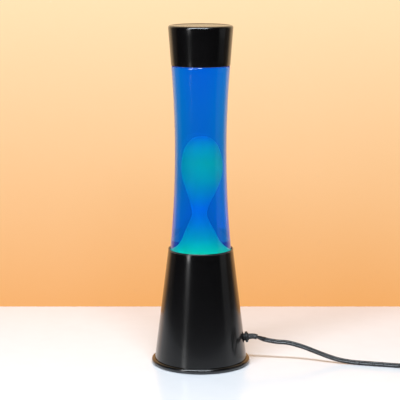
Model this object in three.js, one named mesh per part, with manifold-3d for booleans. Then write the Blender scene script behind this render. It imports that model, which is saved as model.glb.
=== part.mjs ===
// A lava lamp: a tapered metal base with a lampholder and bulb, a glass bottle of blue liquid and
// wax that lifts out of it, a metal cap that lifts off the bottle, and a mains lead with an inline
// rocker switch and a flat plug. Millimetres, +Z up, the origin on the table under the lamp's axis.

import * as THREE from 'three';
import { mergeVertices } from 'three/addons/utils/BufferGeometryUtils.js';
import Module from 'manifold-3d';

const wasm = await Module();
wasm.setup();

// ---------------------------------------------------------------- driving dimensions

const clearance = 0.3; // kept between pieces that touch on the real lamp
const through = 12; // length of a drill that passes right through a wall, plate or bar
const overlap = 0.5; // how far a piece is sunk into the one that it is joined to
const facets = { large: 28, medium: 16, small: 8, cord: 8 };

const bottle = {
  height: 260, wall: 2.3, floor: 4, corner: 6, // corner is the round under the side wall
  waistRadius: 29.5, waistHeight: 137, bow: 1180, // bow is the radius of the side's inward curve
  neckHeight: 27, ledgeRound: 1.4, shoulderRise: 15, shoulderDrop: 3, neckRadius: 12.4, bore: 8.4,
  lipRadius: 13.3, lipHeight: 4.5, lipUnder: 1, lipRound: 1.7, airGap: 21,
};
const shell = {
  height: 135, bottomRadius: 53.9, wall: 1, // bottomRadius is the cone's, carried down to the table
  rimBead: 0.9, rimInset: 0.5, lipBead: 2.8, lipOffset: 0.7, lipLift: 0.4, bottleGap: 1.2,
};
const seat = { depth: 23.3, hole: 26, thickness: 1.5, skirt: 7.7, skirtWall: 1.2 };
const cap = {
  height: 45.2, flare: 3.2, proud: 0.3, wall: 1, roof: 1.2, edge: 2.8, dish: 0.6, dishInset: 1.6,
};
const crown = { thickness: 0.7, skirt: 5.6, flare: 1.1, round: 1.2, linerThickness: 1, linerRadius: 12.3 };

const plate = { lift: 2.2, thickness: 2.2, ventCount: 8, ventRadius: 2, ventInset: 17.5 };
const foot = { radius: 5, inset: 9.2, chamfer: 0.6, count: 4 };
const lug = { width: 10, length: 9, thickness: 2, weld: 0.5, inset: 5.4, count: 3 };
const screw = { shank: 1.6, head: 3.1, headHeight: 2, lowHead: 1.3, point: 1, reach: 3 };
const pad = { radius: 4.6, height: 3.6, floor: 1.2 }; // raised pads of the plate that take screws

const bracket = { span: 17, foot: 11, width: 16, thickness: 1.5 };
const nipple = { radius: 4.9, bore: 3.6, length: 12.2, below: 4.2 };
const nut = { acrossFlats: 14, height: 3 };
const holder = {
  radius: 13.5, wall: 1.6, height: 40.2, floor: 2.5, round: 4,
  insertFloor: 3.4, insertLift: 8.3, insertInset: 2, insertPlay: 0.8, contactRise: 3.4,
  shellStart: 6, shellLength: 13, shellWall: 0.5,
};
const leaf = { foot: 6, bend: 1, crest: 2, tongue: 4.5, droop: 1, thickness: 0.6, width: 3.6 };
const thread = { pitch: 2.82, depth: 0.8, crest: 7, fit: 0.5, fade: 1.5, rows: 4 }; // the bulb's E14 thread
const bulb = {
  length: 66, headroom: 11.7, radius: 19.5, wall: 0.8, face: 12, neckRadius: 7.6,
  tipRadius: 2.4, tipHeight: 1.5, insulatorHeight: 3, insulatorRadius: 3.6,
  capHeight: 17.9, capWall: 0.6, capSkirt: 8, skirtHeight: 1.5, skirtSlope: 1.5,
  stemRadius: 2.2, stemFlare: 5.4, stemSeal: 5, stemHeight: 17, stemRound: 1,
  filamentSpan: 6, filamentRise: 9, wire: 0.35,
};

const cord = { radius: 2.8, exitHeight: 28.9 };
const grommet = {
  flangeRadius: 6.3, flange: 3, standOff: 1.5, neck: 4.3, keeper: 5.6, keeperLength: 2.3,
  keeperSetBack: 1.5, edge: 0.8, tail: 4, tailRadius: 3, sleeve: 3.6, sleeveRadius: 3.6, sleeveEnd: 3.1,
};
const clamp = { reach: 31, spacing: 16, width: 7, thickness: 3, padHeight: 5.7, cordRadius: 2.5 };
const core = { radius: 1.1, spread: 1.5 }; // the two insulated wires that leave the lead's sheath
const coil = { x: 344.65, y: 2.35, radius: 29.2, band: 13.9, height: 11.2, lift: 1, edge: 1.2 };
const tie = { thickness: 0.7, width: 7, slack: 0.6, angle: -60 };
const inline = {
  x: 286.3, y: -32, length: 60, width: 22, height: 14, corner: 6, wall: 3, floor: 2, roof: 1.6,
  windowLength: 20.4, windowWidth: 10, screwReach: 23,
};
const post = { radius: 2.6, bore: 1.5, counterbore: 2.7, counterDepth: 1.8 };
const postScrew = { start: 0.3, head: 2.4, headHeight: 1.2, shank: 1.2, short: 1 };
const rocker = {
  halfLength: 9.2, width: 9.2, keel: 4, depth: 3, endDepth: 0.5, endTop: 3.6, middleTop: 2.6,
  axle: 1, axleReach: 2, axleDepth: 3, tilt: 10,
};
const strap = { far: 20, near: 6, rise: 4.2, thickness: 0.8, width: 4 }; // the switch's brass straps
const plug = {
  x: 350, y: 58.5, width: 35.3, thickness: 13.6, body: 26, tail: 18, tailWidth: 9, tailEnd: 8,
  tailTip: 3, cheek: 4, cheekStart: 5, cheekLength: 5, corner: 3, chamfer: 1.2,
  pinRadius: 2, pinLength: 19, pinSpacing: 18.6, pinDepth: 9, pinRound: 1,
};

// The lead's free route, from the grommet to the inline switch, from there to the coil, and from
// the coil to the plug.
const leadToSwitch = [
  [58.9, 0, 30], [62.5, 0, 29.9], [68, 0, 28.3], [75, 0, 25.9], [87.8, -1, 23.7], [101, -2, 22.8],
  [112, -3.3, 20.4], [122.3, -4.7, 17.3], [131.6, -6.2, 13.9], [141, -7.8, 10.6], [150, -9.5, 7.6],
  [159.8, -11.2, 5], [172, -14, 3.3], [184.3, -17.3, 2.9], [208.5, -23.8, 2.9], [229, -29, 2.9],
  [238, -30.8, 3.6], [246, -31.8, 5.6], [252, -32, 6.9], [255.9, -32, 7],
];
const leadToCoil = [[316.7, -32, 7], [320, -32, 6.7], [326, -32, 5.4]];
const leadToPlug = [
  [379, 21, 8], [379, 27, 5.6], [378, 35, 3.6], [374.5, 44, 2.9], [368, 52, 3.2],
  [361, 57, 4.8], [354, 58.5, 6.7], [350.4, 58.5, 6.8],
];

// ---------------------------------------------------------------- derived sizes and heights

const coneRadius = (z) => shell.bottomRadius + ((rimRadius - shell.bottomRadius) * z) / shell.height;

// The bottle's outside at a height above its base. Inside the base shell it runs straight down, so
// that the bottle lifts out through the rim.
function glassRadius(h) {
  const away = Math.max(h, seat.depth) - bottle.waistHeight;
  return bottle.waistRadius + away ** 2 / (2 * bottle.bow);
}

const rimRadius = glassRadius(seat.depth) + shell.bottleGap + shell.wall;
const lipHeight = shell.lipLift + shell.lipBead;
const lipCentre = coneRadius(lipHeight) + shell.lipOffset;
const plateRadius = lipCentre - shell.lipBead - clearance;
const plateTop = plate.lift + plate.thickness;
const seatTop = shell.height - seat.depth;
const bottleBase = seatTop + clearance;
const ledge = bottle.height - bottle.neckHeight; // height on the bottle where the cap sits
const ledgeRadius = glassRadius(ledge - bottle.ledgeRound);
const capBase = ledge + clearance; // measured from the bottle's base
const padTop = plateTop + pad.height;
const bulbTip = seatTop - bulb.headroom - bulb.length;
const contactTop = bulbTip - clearance;
const insertTop = contactTop - holder.contactRise; // the floor that the centre contact stands on
const holderBase = insertTop - holder.insertFloor - holder.insertLift - holder.floor;
const strapTop = holderBase - clearance;
const exitRadius = coneRadius(cord.exitHeight);
const wallLean = Math.atan((shell.bottomRadius - rimRadius) / shell.height);

// ---------------------------------------------------------------- geometry helpers

function outward(geometry) {
  const at = geometry.attributes.position;
  const index = geometry.index.array;
  const [a, b, c] = [new THREE.Vector3(), new THREE.Vector3(), new THREE.Vector3()];
  let volume = 0;
  for (let i = 0; i < index.length; i += 3) {
    a.fromBufferAttribute(at, index[i]);
    b.fromBufferAttribute(at, index[i + 1]);
    c.fromBufferAttribute(at, index[i + 2]);
    volume += a.dot(b.cross(c));
  }
  if (volume < 0) geometry.setIndex(Array.from(index).reverse());
  return geometry;
}

function welded(geometry) {
  const bare = geometry.clone();
  bare.deleteAttribute('normal');
  bare.deleteAttribute('uv');
  const merged = mergeVertices(bare, 1e-4);
  const kept = [];
  for (let i = 0; i < merged.index.count; i += 3) {
    const [p, q, r] = [0, 1, 2].map((k) => merged.index.getX(i + k));
    if (p !== q && q !== r && r !== p) kept.push(p, q, r);
  }
  merged.setIndex(kept);
  return outward(merged);
}

function solidOf(geometry) {
  const g = welded(geometry);
  return new wasm.Manifold(new wasm.Mesh({
    numProp: 3,
    vertProperties: new Float32Array(g.attributes.position.array),
    triVerts: new Uint32Array(g.index.array),
  }));
}

function geometryOf(solid) {
  const mesh = solid.getMesh();
  const geometry = new THREE.BufferGeometry();
  geometry.setAttribute('position', new THREE.Float32BufferAttribute(mesh.vertProperties, 3));
  geometry.setIndex(Array.from(mesh.triVerts));
  return geometry;
}

function cut(body, ...tools) {
  return geometryOf(tools.reduce((solid, tool) => solid.subtract(solidOf(tool)), solidOf(body)));
}

function join(body, ...others) {
  return geometryOf(others.reduce((solid, other) => solid.add(solidOf(other)), solidOf(body)));
}

// A solid of revolution about +Z from [radius, height] points.
function turned(profile, sides) {
  const points = profile.map(([r, z]) => new THREE.Vector2(Math.max(r, 0), z));
  return welded(new THREE.LatheGeometry(points, sides).rotateX(Math.PI / 2));
}

const ring = (profile, sides) => turned([...profile, profile[0]], sides);

// Points of a circular or elliptical arc, angles in degrees, counted from the radial direction.
function arc(r, z, radius, from, to, steps, rise = radius) {
  return Array.from({ length: steps + 1 }, (_, i) => {
    const angle = THREE.MathUtils.degToRad(from + ((to - from) * i) / steps);
    return [r + radius * Math.cos(angle), z + rise * Math.sin(angle)];
  });
}

// The profile moved sideways by a distance, to its right when walking along it.
function offset(profile, distance) {
  return profile.map(([r, z], i) => {
    const [r0, z0] = profile[Math.max(i - 1, 0)];
    const [r1, z1] = profile[Math.min(i + 1, profile.length - 1)];
    const length = Math.hypot(r1 - r0, z1 - z0);
    return [r + ((z1 - z0) / length) * distance, z - ((r1 - r0) / length) * distance];
  });
}

function rod(radius, length, sides = facets.small) {
  return new THREE.CylinderGeometry(radius, radius, length, sides).rotateX(Math.PI / 2);
}

function block(x, y, z) {
  return new THREE.BoxGeometry(x, y, z);
}

function outline(points) {
  return new THREE.Shape(points.map(([x, y]) => new THREE.Vector2(x, y)));
}

function roundedRectangle(length, width, corner) {
  const [x, y] = [length / 2 - corner, width / 2 - corner];
  const shape = new THREE.Shape();
  shape.absarc(x, y, corner, 0, Math.PI / 2);
  shape.absarc(-x, y, corner, Math.PI / 2, Math.PI);
  shape.absarc(-x, -y, corner, Math.PI, 1.5 * Math.PI);
  shape.absarc(x, -y, corner, 1.5 * Math.PI, 2 * Math.PI);
  return shape;
}

function extruded(shape, depth, curveSegments = 4) {
  return new THREE.ExtrudeGeometry(shape, { depth, bevelEnabled: false, curveSegments });
}

// An XZ outline with a width along Y, centred on Y = 0.
function strip(points, width) {
  return extruded(outline(points), width).rotateX(Math.PI / 2).translate(0, width / 2, 0);
}

function tube(points, radius, steps, sides = facets.cord) {
  const path = new THREE.CatmullRomCurve3(points.map((p) => new THREE.Vector3(...p)), false, 'centripetal');
  const section = outline(arc(0, 0, radius, 0, 360 - 360 / sides, sides - 1));
  return new THREE.ExtrudeGeometry(section, { steps, bevelEnabled: false, extrudePath: path });
}

// A turned solid whose radius follows the E14 thread between two heights. swing is how far the
// surface moves: out to the crest where it is positive, in to the crest where it is negative.
function threaded(geometry, start, end, swing, moves = () => true) {
  const at = geometry.attributes.position;
  for (let i = 0; i < at.count; i += 1) {
    const [x, y, z] = [at.getX(i), at.getY(i), at.getZ(i)];
    const near = Math.min(z - start, end - z) / thread.fade;
    const fade = THREE.MathUtils.clamp(near, 0, 1);
    const wave = Math.cos((2 * Math.PI * z) / thread.pitch - Math.atan2(y, x));
    const radius = Math.hypot(x, y);
    if (fade > 0 && moves(radius)) {
      const grow = 1 + (fade * swing * (1 + Math.sign(swing) * wave)) / 2 / radius;
      at.setXY(i, x * grow, y * grow);
    }
  }
  return geometry;
}

function heights(from, to, step) {
  const count = Math.ceil((to - from) / step);
  return Array.from({ length: count + 1 }, (_, i) => from + ((to - from) * i) / count);
}

// ---------------------------------------------------------------- materials

const look = (color, roughness, metalness = 0, more = {}) =>
  new THREE.MeshStandardMaterial({ color, roughness, metalness, ...more });

const blackPaint = look(0x1a191b, 0.32, 0.1);
const clearGlass = look(0xdfeaf2, 0.05, 0, { transparent: true, opacity: 0.3 });
const blueLiquid = look(0x0a4fd0, 0.08, 0, { transparent: true, opacity: 0.6 });
const waxMaterial = look(0x1fc3b4, 0.45);
const steel = look(0xa9acb0, 0.35, 1);
const zinc = look(0x8d9094, 0.5, 0.9);
const brass = look(0xb08d4a, 0.35, 1);
const blackPlastic = look(0x161617, 0.45);
const blackRubber = look(0x111112, 0.8);
const phenolic = look(0x20201f, 0.4);
const liner = look(0xd8d4c8, 0.6);
const solder = look(0xb9bcc0, 0.4, 0.9);
const copperCore = look(0x3d6fb0, 0.5);
const brownCore = look(0x6a3d1f, 0.5);
const tungsten = look(0x6f6c66, 0.5, 0.8);

function piece(name, geometry, material) {
  const mesh = new THREE.Mesh(geometry, material);
  mesh.name = name;
  return mesh;
}

function placed(object, x, y, z) {
  object.position.set(x, y, z);
  return object;
}

function group(...members) {
  const g = new THREE.Group();
  g.add(...members);
  return g;
}

// ---------------------------------------------------------------- bottle, in heights from its base

// The side's outer or inner radius at even steps of height.
function sideWall(from, to, inset, steps) {
  return heights(from, to, (to - from) / steps).map((h) => [glassRadius(h) - inset, h]);
}

const neckStart = ledge + bottle.shoulderRise;
const lipStart = bottle.height - bottle.lipHeight;

const cavityRound = bottle.corner - bottle.wall / 2; // the glass is thicker at the corner
const cavitySideStart = bottle.floor + cavityRound;
const cavitySideEnd = ledge - bottle.shoulderDrop;
const cavity = [
  [0, bottle.floor],
  ...arc(glassRadius(cavitySideStart) - bottle.wall - cavityRound, cavitySideStart, cavityRound, -90, -15, 3),
  ...sideWall(cavitySideStart, cavitySideEnd, bottle.wall, 5),
  ...arc(
    bottle.bore, cavitySideEnd, glassRadius(cavitySideEnd) - bottle.wall - bottle.bore, 15, 82, 4,
    bottle.shoulderRise,
  ),
  [bottle.bore, neckStart],
];

function glassBottle() {
  const round = bottle.corner;
  const outside = [
    [0, 0],
    ...arc(glassRadius(round) - round, round, round, -90, -12, 3),
    ...sideWall(round, ledge - bottle.ledgeRound, 0, 6),
    ...arc(ledgeRadius - bottle.ledgeRound, ledge - bottle.ledgeRound, bottle.ledgeRound, 30, 90, 2),
    ...arc(bottle.neckRadius, ledge, ledgeRadius - bottle.ledgeRound - bottle.neckRadius, 8, 90, 4,
      bottle.shoulderRise),
  ];
  const { lipRadius, lipRound } = bottle;
  const mouth = [
    [bottle.neckRadius, lipStart - bottle.lipUnder], [lipRadius, lipStart],
    ...arc(lipRadius - lipRound, bottle.height - lipRound, lipRound, 0, 90, 2),
    [bottle.bore, bottle.height],
  ];
  return turned([...outside, ...mouth, ...cavity.toReversed()], facets.large);
}

// The wax: a pool on the bottle's floor that draws up into a neck and a round-topped blob.
const waxPoolTop = 12;
const waxOutline = [
  [29, 15.5], [19, 27], [12.6, 44], [8.2, 56], [6.4, 63], [7.7, 74], [13.2, 92], [17, 108],
  [17.2, 126], [13.2, 144], [6.5, 152.5],
];
const waxTop = 154;
const heater = { ringRadius: 26, wire: 2 };

// The cavity's wall moved in by the clearance, which is the outside of the wax and the liquid.
const filling = offset(cavity, -clearance);

function alongFilling(from, to) {
  return filling.filter(([, z]) => z > from && z < to);
}

// A point of the filling's outside at a height.
function fillingEdge(z) {
  const above = filling.findIndex(([, high]) => high > z);
  const [[r0, z0], [r1, z1]] = [filling[above - 1], filling[above]];
  return [r0 + ((r1 - r0) * (z - z0)) / (z1 - z0), z];
}

function waxSurface() {
  const start = new THREE.Vector2(...fillingEdge(waxPoolTop));
  const points = [start, ...waxOutline.map((p) => new THREE.Vector2(...p)), new THREE.Vector2(0, waxTop)];
  return new THREE.SplineCurve(points).getPoints(14).map((p) => [Math.max(p.x, 0), p.y]);
}

function waxColumn() {
  const base = bottle.floor + clearance;
  const [inner, outer] = [-1, 1].map((side) => heater.ringRadius + side * (heater.wire + clearance));
  const groove = base + 2 * (heater.wire + clearance);
  const under = [[0, base], [inner, base], [inner, groove], [outer, groove], [outer, base]];
  return turned([...under, ...alongFilling(base, waxPoolTop), ...waxSurface()], facets.large);
}

function blueLiquidFill() {
  const level = bottle.height - bottle.airGap;
  const overWax = offset(waxSurface(), clearance).toReversed();
  const poolEdge = fillingEdge(waxPoolTop + 2 * clearance);
  overWax[0] = [0, waxTop + clearance];
  overWax[overWax.length - 1] = poolEdge;
  const wall = alongFilling(poolEdge[1], level);
  return turned([...overWax, ...wall, fillingEdge(level), [0, level]], facets.large);
}

function heatingCoil() {
  const centre = bottle.floor + clearance + heater.wire + clearance / 2;
  return ring(arc(heater.ringRadius, centre, heater.wire, 0, 300, 5), facets.large);
}

function crownCap() {
  const under = bottle.height + 2 * clearance + crown.linerThickness;
  const top = under + crown.thickness;
  const inside = bottle.lipRadius + clearance;
  const outside = inside + crown.thickness;
  const skirtEnd = under - crown.skirt;
  return turned([
    [0, top], [outside - crown.round, top], [outside, top - crown.round],
    [outside + crown.flare, skirtEnd], [inside + crown.flare, skirtEnd],
    [inside, under - crown.round], [inside - crown.round, under], [0, under],
  ], facets.medium);
}

function crownLiner() {
  const base = bottle.height + clearance;
  return turned([
    [0, base], [crown.linerRadius, base],
    [crown.linerRadius, base + crown.linerThickness], [0, base + crown.linerThickness],
  ], facets.medium);
}

function topCap() {
  const outer = ledgeRadius + cap.proud;
  const top = capBase + cap.height;
  const bend = top - cap.edge;
  const wide = outer + cap.flare;
  const dish = wide - cap.edge - cap.dishInset;
  return turned([
    [0, top - cap.dish], [dish, top - cap.dish], [dish + cap.dish, top],
    ...arc(wide - cap.edge, bend, cap.edge, 90, 0, 5),
    [outer, capBase], [outer - cap.wall, capBase],
    ...arc(wide - cap.edge, bend, cap.edge - cap.wall, 0, 60, 2),
    [dish, top - cap.dish - cap.roof], [0, top - cap.dish - cap.roof],
  ], facets.large);
}

function bottleAssembly() {
  const members = group(
    piece('glass_bottle', glassBottle(), clearGlass),
    piece('blue_liquid', blueLiquidFill(), blueLiquid),
    piece('wax_column', waxColumn(), waxMaterial),
    piece('heating_coil', heatingCoil(), steel),
    piece('crown_cap', crownCap(), steel),
    piece('crown_liner', crownLiner(), liner),
    piece('top_cap', topCap(), blackPaint),
  );
  return placed(members, 0, 0, bottleBase);
}

// ---------------------------------------------------------------- base shell and bottle seat

const lipTop = lipHeight + shell.lipBead;
const beadAngle = (r, centre, bead) => THREE.MathUtils.radToDeg(Math.acos((r - centre) / bead));

function around(count, radius, first = 0) {
  return Array.from({ length: count }, (_, i) => {
    const angle = first + (2 * Math.PI * i) / count;
    return { x: radius * Math.cos(angle), y: radius * Math.sin(angle), angle };
  });
}

const lugPlaces = around(lug.count, plateRadius - lug.inset, Math.PI / 6);

function shellCone() {
  const outerAngle = beadAngle(coneRadius(lipTop), lipCentre, shell.lipBead);
  const innerAngle = beadAngle(coneRadius(lipTop) - shell.wall, lipCentre, shell.lipBead);
  const rimHeight = shell.height - shell.rimBead;
  const rimCentre = rimRadius - shell.rimInset;
  const outerRim = beadAngle(coneRadius(rimHeight), rimCentre, shell.rimBead);
  const innerRim = beadAngle(coneRadius(rimHeight) - shell.wall, rimCentre, shell.rimBead);
  return ring([
    ...arc(lipCentre, lipHeight, shell.lipBead, innerAngle, 360 + outerAngle, 11),
    ...arc(rimCentre, rimHeight, shell.rimBead, -outerRim, 360 - innerRim, 6),
  ], facets.large);
}

function weldedLug({ x, y, angle }) {
  const top = plateTop + clearance;
  const reach = coneRadius(top + lug.thickness) - shell.wall + lug.weld;
  const tab = block(lug.length, lug.width, lug.thickness);
  tab.translate(reach - lug.length / 2, 0, top + lug.thickness / 2).rotateZ(angle);
  const hole = rod(screw.shank + clearance, through).translate(x, y, top + lug.thickness / 2);
  return { tab, hole };
}

function baseShell() {
  const lugs = lugPlaces.map(weldedLug);
  const cordHole = rod(grommet.neck + clearance, through, facets.medium).rotateY(Math.PI / 2 - wallLean);
  cordHole.translate(exitRadius, 0, cord.exitHeight);
  const withLugs = join(shellCone(), ...lugs.map(({ tab }) => tab));
  return cut(withLugs, cordHole, ...lugs.map(({ hole }) => hole));
}

function seatRing() {
  const inside = (z) => coneRadius(z) - shell.wall - clearance;
  const under = seatTop - seat.thickness;
  const skirtEnd = seatTop - seat.skirt;
  return ring([
    [seat.hole, seatTop], [inside(seatTop), seatTop], [inside(skirtEnd), skirtEnd],
    [inside(skirtEnd) - seat.skirtWall, skirtEnd], [inside(under) - seat.skirtWall, under],
    [seat.hole, under],
  ], facets.large);
}

// ---------------------------------------------------------------- bottom plate, feet and screws

const footPlaces = around(foot.count, plateRadius - foot.inset, Math.PI / 4);
const bracketPads = [-1, 1].map((side) => ({ x: side * (bracket.span + bracket.foot / 2), y: 0 }));
const clampPads = [-1, 1].map((side) => ({ x: 0, y: -clamp.reach + (side * clamp.spacing) / 2 }));

function bottomPlate() {
  const disc = rod(plateRadius, plate.thickness, facets.large)
    .translate(0, 0, plate.lift + plate.thickness / 2);
  const pads = [
    ...bracketPads.map((p) => ({ ...p, height: pad.height })),
    ...clampPads.map((p) => ({ ...p, height: clamp.padHeight })),
  ];
  const posts = pads.map(({ x, y, height }) =>
    rod(pad.radius, height + overlap).translate(x, y, plateTop + (height - overlap) / 2));
  const drilled = pads.map(({ x, y, height }) => {
    const depth = plate.thickness + height - pad.floor + overlap;
    return rod(screw.shank + clearance, depth).translate(x, y, plateTop + height + overlap - depth / 2);
  });
  const lugHoles = lugPlaces.map(({ x, y }) =>
    rod(screw.shank + clearance, through).translate(x, y, plate.lift));
  const keepOff = pad.radius + 2 * plate.ventRadius;
  const vents = around(plate.ventCount, plateRadius - plate.ventInset, Math.PI / plate.ventCount)
    .filter(({ x, y }) => pads.every((p) => Math.hypot(p.x - x, p.y - y) > keepOff))
    .map(({ x, y }) => rod(plate.ventRadius, through).translate(x, y, plate.lift));
  return cut(join(disc, ...posts), ...drilled, ...lugHoles, ...vents);
}

// A pan-head screw that points down, with the underside of its head at its origin.
function panScrew(length, headHeight = screw.headHeight) {
  return turned([
    [0, -length], [screw.shank * 0.5, -length], [screw.shank, screw.point - length], [screw.shank, 0],
    [screw.head, 0], [screw.head, headHeight * 0.6], [screw.head * 0.6, headHeight], [0, headHeight],
  ], facets.small);
}

function plateAssembly() {
  const padDepth = pad.height + plate.thickness - pad.floor + bracket.thickness;
  const clampDepth = clamp.padHeight + plate.thickness - pad.floor + clamp.thickness;
  const bracketTop = padTop + clearance + bracket.thickness + clearance;
  const clampTop = plateTop + clamp.padHeight + clearance + clamp.thickness + clearance;
  const lugScrewLength = plate.thickness + lug.thickness + screw.reach;
  const feet = footPlaces.map(({ x, y }, i) =>
    placed(piece(`foot_${i + 1}`, turned([
      [0, 0], [foot.radius - foot.chamfer, 0], [foot.radius, foot.chamfer],
      [foot.radius, plate.lift - clearance], [0, plate.lift - clearance],
    ], facets.small), blackRubber), x, y, 0));
  const plateScrews = lugPlaces.map(({ x, y }, i) => {
    const upward = panScrew(lugScrewLength, screw.lowHead).rotateX(Math.PI);
    return placed(piece(`plate_screw_${i + 1}`, upward, zinc), x, y, plate.lift - clearance);
  });
  const bracketScrews = bracketPads.map(({ x, y }, i) =>
    placed(piece(`bracket_screw_${i + 1}`, panScrew(padDepth), zinc), x, y, bracketTop));
  const clampScrews = clampPads.map(({ x, y }, i) =>
    placed(piece(`clamp_screw_${i + 1}`, panScrew(clampDepth), zinc), x, y, clampTop));
  return group(
    piece('bottom_plate', bottomPlate(), blackPlastic), ...feet, ...plateScrews,
    ...bracketScrews, ...clampScrews,
  );
}

// ---------------------------------------------------------------- lampholder on its bracket

function holderBracket() {
  const { span, thickness } = bracket;
  const low = padTop + clearance;
  const far = span + bracket.foot;
  const under = strapTop - thickness;
  const half = [[far, low], [far, low + thickness], [span + thickness, low + thickness],
    [span + thickness, strapTop]];
  const inner = [[span, under], [span, low]];
  const mirrored = (points) => points.map(([x, z]) => [-x, z]).toReversed();
  const profile = [...half, ...mirrored(half), ...mirrored(inner), ...inner];
  const screwHoles = bracketPads.map(({ x, y }) =>
    rod(screw.shank + clearance, through).translate(x, y, low + thickness / 2));
  const nippleHole = rod(nipple.radius + clearance, through, facets.medium)
    .translate(0, 0, under + thickness / 2);
  return cut(welded(strip(profile, bracket.width)), nippleHole, ...screwHoles);
}

const nippleBase = strapTop - bracket.thickness - nipple.below;

function holderNipple() {
  const top = nippleBase + nipple.length;
  return ring([
    [nipple.bore, nippleBase], [nipple.radius, nippleBase], [nipple.radius, top], [nipple.bore, top],
  ], facets.medium);
}

function holderNut() {
  const corner = nut.acrossFlats / 2 / Math.cos(Math.PI / 6);
  const top = strapTop - bracket.thickness - clearance;
  const hex = rod(corner, nut.height, 6).translate(0, 0, top - nut.height / 2);
  const hole = rod(nipple.radius + clearance, through, facets.medium).translate(0, 0, top - nut.height / 2);
  return cut(hex, hole);
}

function holderBody() {
  const inside = holder.radius - holder.wall;
  const top = holderBase + holder.height;
  const hole = nipple.radius + clearance;
  const floorTop = holderBase + holder.floor;
  const { round } = holder;
  const innerRound = round - holder.wall;
  return ring([
    [hole, holderBase], ...arc(holder.radius - round, holderBase + round, round, -90, 0, 3),
    [holder.radius, top], [inside, top], [inside, floorTop + innerRound],
    [inside - innerRound, floorTop], [hole, floorTop],
  ], facets.medium);
}

const insertBore = thread.crest + thread.fit + holder.shellWall + holder.insertPlay;

function holderInsert() {
  const outer = holder.radius - holder.wall - clearance;
  const top = holderBase + holder.height - holder.insertInset;
  const under = insertTop - holder.insertFloor;
  return turned([
    [0, under], [outer, under], [outer, top], [insertBore, top], [insertBore, insertTop], [0, insertTop],
  ], facets.medium);
}

function holderScrewShell() {
  const start = insertTop + holder.shellStart;
  const end = start + holder.shellLength;
  const root = thread.crest + thread.fit;
  const rows = heights(start, end, thread.pitch / thread.rows);
  const tubeWall = [
    ...rows.map((z) => [root, z]), ...rows.toReversed().map((z) => [root + holder.shellWall, z]),
  ];
  return threaded(ring(tubeWall, facets.medium), start - thread.fade, end + thread.fade, -thread.depth);
}

function holderContact() {
  const floor = insertTop + clearance;
  const under = contactTop - leaf.thickness;
  return strip([
    [-leaf.foot, floor], [-leaf.bend, floor], [leaf.crest, under], [leaf.tongue, under - leaf.droop],
    [leaf.tongue, contactTop - leaf.droop], [leaf.crest, contactTop],
    [-leaf.bend - leaf.thickness, floor + leaf.thickness], [-leaf.foot, floor + leaf.thickness],
  ], leaf.width);
}

function holderAssembly() {
  return group(
    piece('holder_bracket', holderBracket(), zinc),
    piece('holder_nipple', holderNipple(), zinc),
    piece('holder_nut', holderNut(), zinc),
    piece('holder_body', holderBody(), phenolic),
    piece('holder_insert', holderInsert(), liner),
    piece('holder_screw_shell', holderScrewShell(), brass),
    piece('holder_contact', holderContact(), brass),
  );
}

// ---------------------------------------------------------------- bulb, in heights from its tip

const insulatorBase = bulb.tipHeight + clearance;
const bulbCapBase = insulatorBase + bulb.insulatorHeight + clearance;
const bulbNeck = bulbCapBase + bulb.capHeight;

function bulbTipContact() {
  return turned([
    [0, 0], [bulb.tipRadius * 0.7, bulb.tipHeight * 0.2], [bulb.tipRadius, bulb.tipHeight],
    [0, bulb.tipHeight],
  ], facets.small);
}

function bulbInsulator() {
  const top = insulatorBase + bulb.insulatorHeight;
  return turned([
    [0, insulatorBase], [bulb.insulatorRadius, insulatorBase],
    [thread.crest - thread.depth, top], [0, top],
  ], facets.medium);
}

// The thread starts above the cap's lower edge and ends under its skirt.
function bulbCap() {
  const root = thread.crest - thread.depth;
  const skirtStart = bulbNeck - bulb.skirtHeight;
  const skirt = skirtStart - bulb.skirtSlope;
  const rows = heights(bulbCapBase, skirt, thread.pitch / thread.rows);
  const wall = ring([
    ...rows.map((z) => [root, z]), [bulb.capSkirt, skirtStart], [bulb.capSkirt, bulbNeck],
    [bulb.capSkirt - bulb.capWall, bulbNeck], [root - bulb.capWall, skirt],
    [root - bulb.capWall, bulbCapBase],
  ], facets.medium);
  const shift = wall.clone().translate(0, 0, bulbTip);
  threaded(shift, bulbTip + bulbCapBase, bulbTip + skirt, thread.depth, (r) => r > root - bulb.capWall / 2);
  return shift.translate(0, 0, -bulbTip);
}

function bulbGlass() {
  const neck = bulbNeck + clearance;
  const widest = bulb.length - bulb.face;
  const flare = [
    [bulb.neckRadius, neck], [bulb.neckRadius + 0.6, neck + 4], [bulb.neckRadius + 3.4, neck + 11],
    [bulb.radius - 2.6, widest - 7],
  ];
  const dome = (inset) => arc(0, widest, bulb.radius - inset, 0, 90, 6, bulb.face - inset);
  const inner = flare.map(([r, z]) => [r - bulb.wall, z]);
  const outside = [...dome(0).toReversed(), ...flare.toReversed()];
  return turned([...outside, ...inner, ...dome(bulb.wall)], facets.medium);
}

function bulbStem() {
  const base = bulbNeck + 2 * clearance;
  const top = base + bulb.stemHeight;
  return turned([
    [0, base], [bulb.stemFlare, base], [bulb.stemRadius, base + bulb.stemSeal],
    [bulb.stemRadius, top - bulb.stemRound], [0, top],
  ], facets.small);
}

function bulbFilament() {
  const base = bulbNeck + 3 * clearance + bulb.stemHeight;
  const high = base + bulb.filamentRise;
  const span = bulb.filamentSpan;
  return tube([
    [-1.4, 0, base], [-2.4, 0, base + 3], [-span, 0, high - 1], [-span + 2, 0, high + 0.6],
    [0, 0, high + 0.9], [span - 2, 0, high + 0.6], [span, 0, high - 1], [2.4, 0, base + 3], [1.4, 0, base],
  ], bulb.wire, 24, 6);
}

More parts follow.
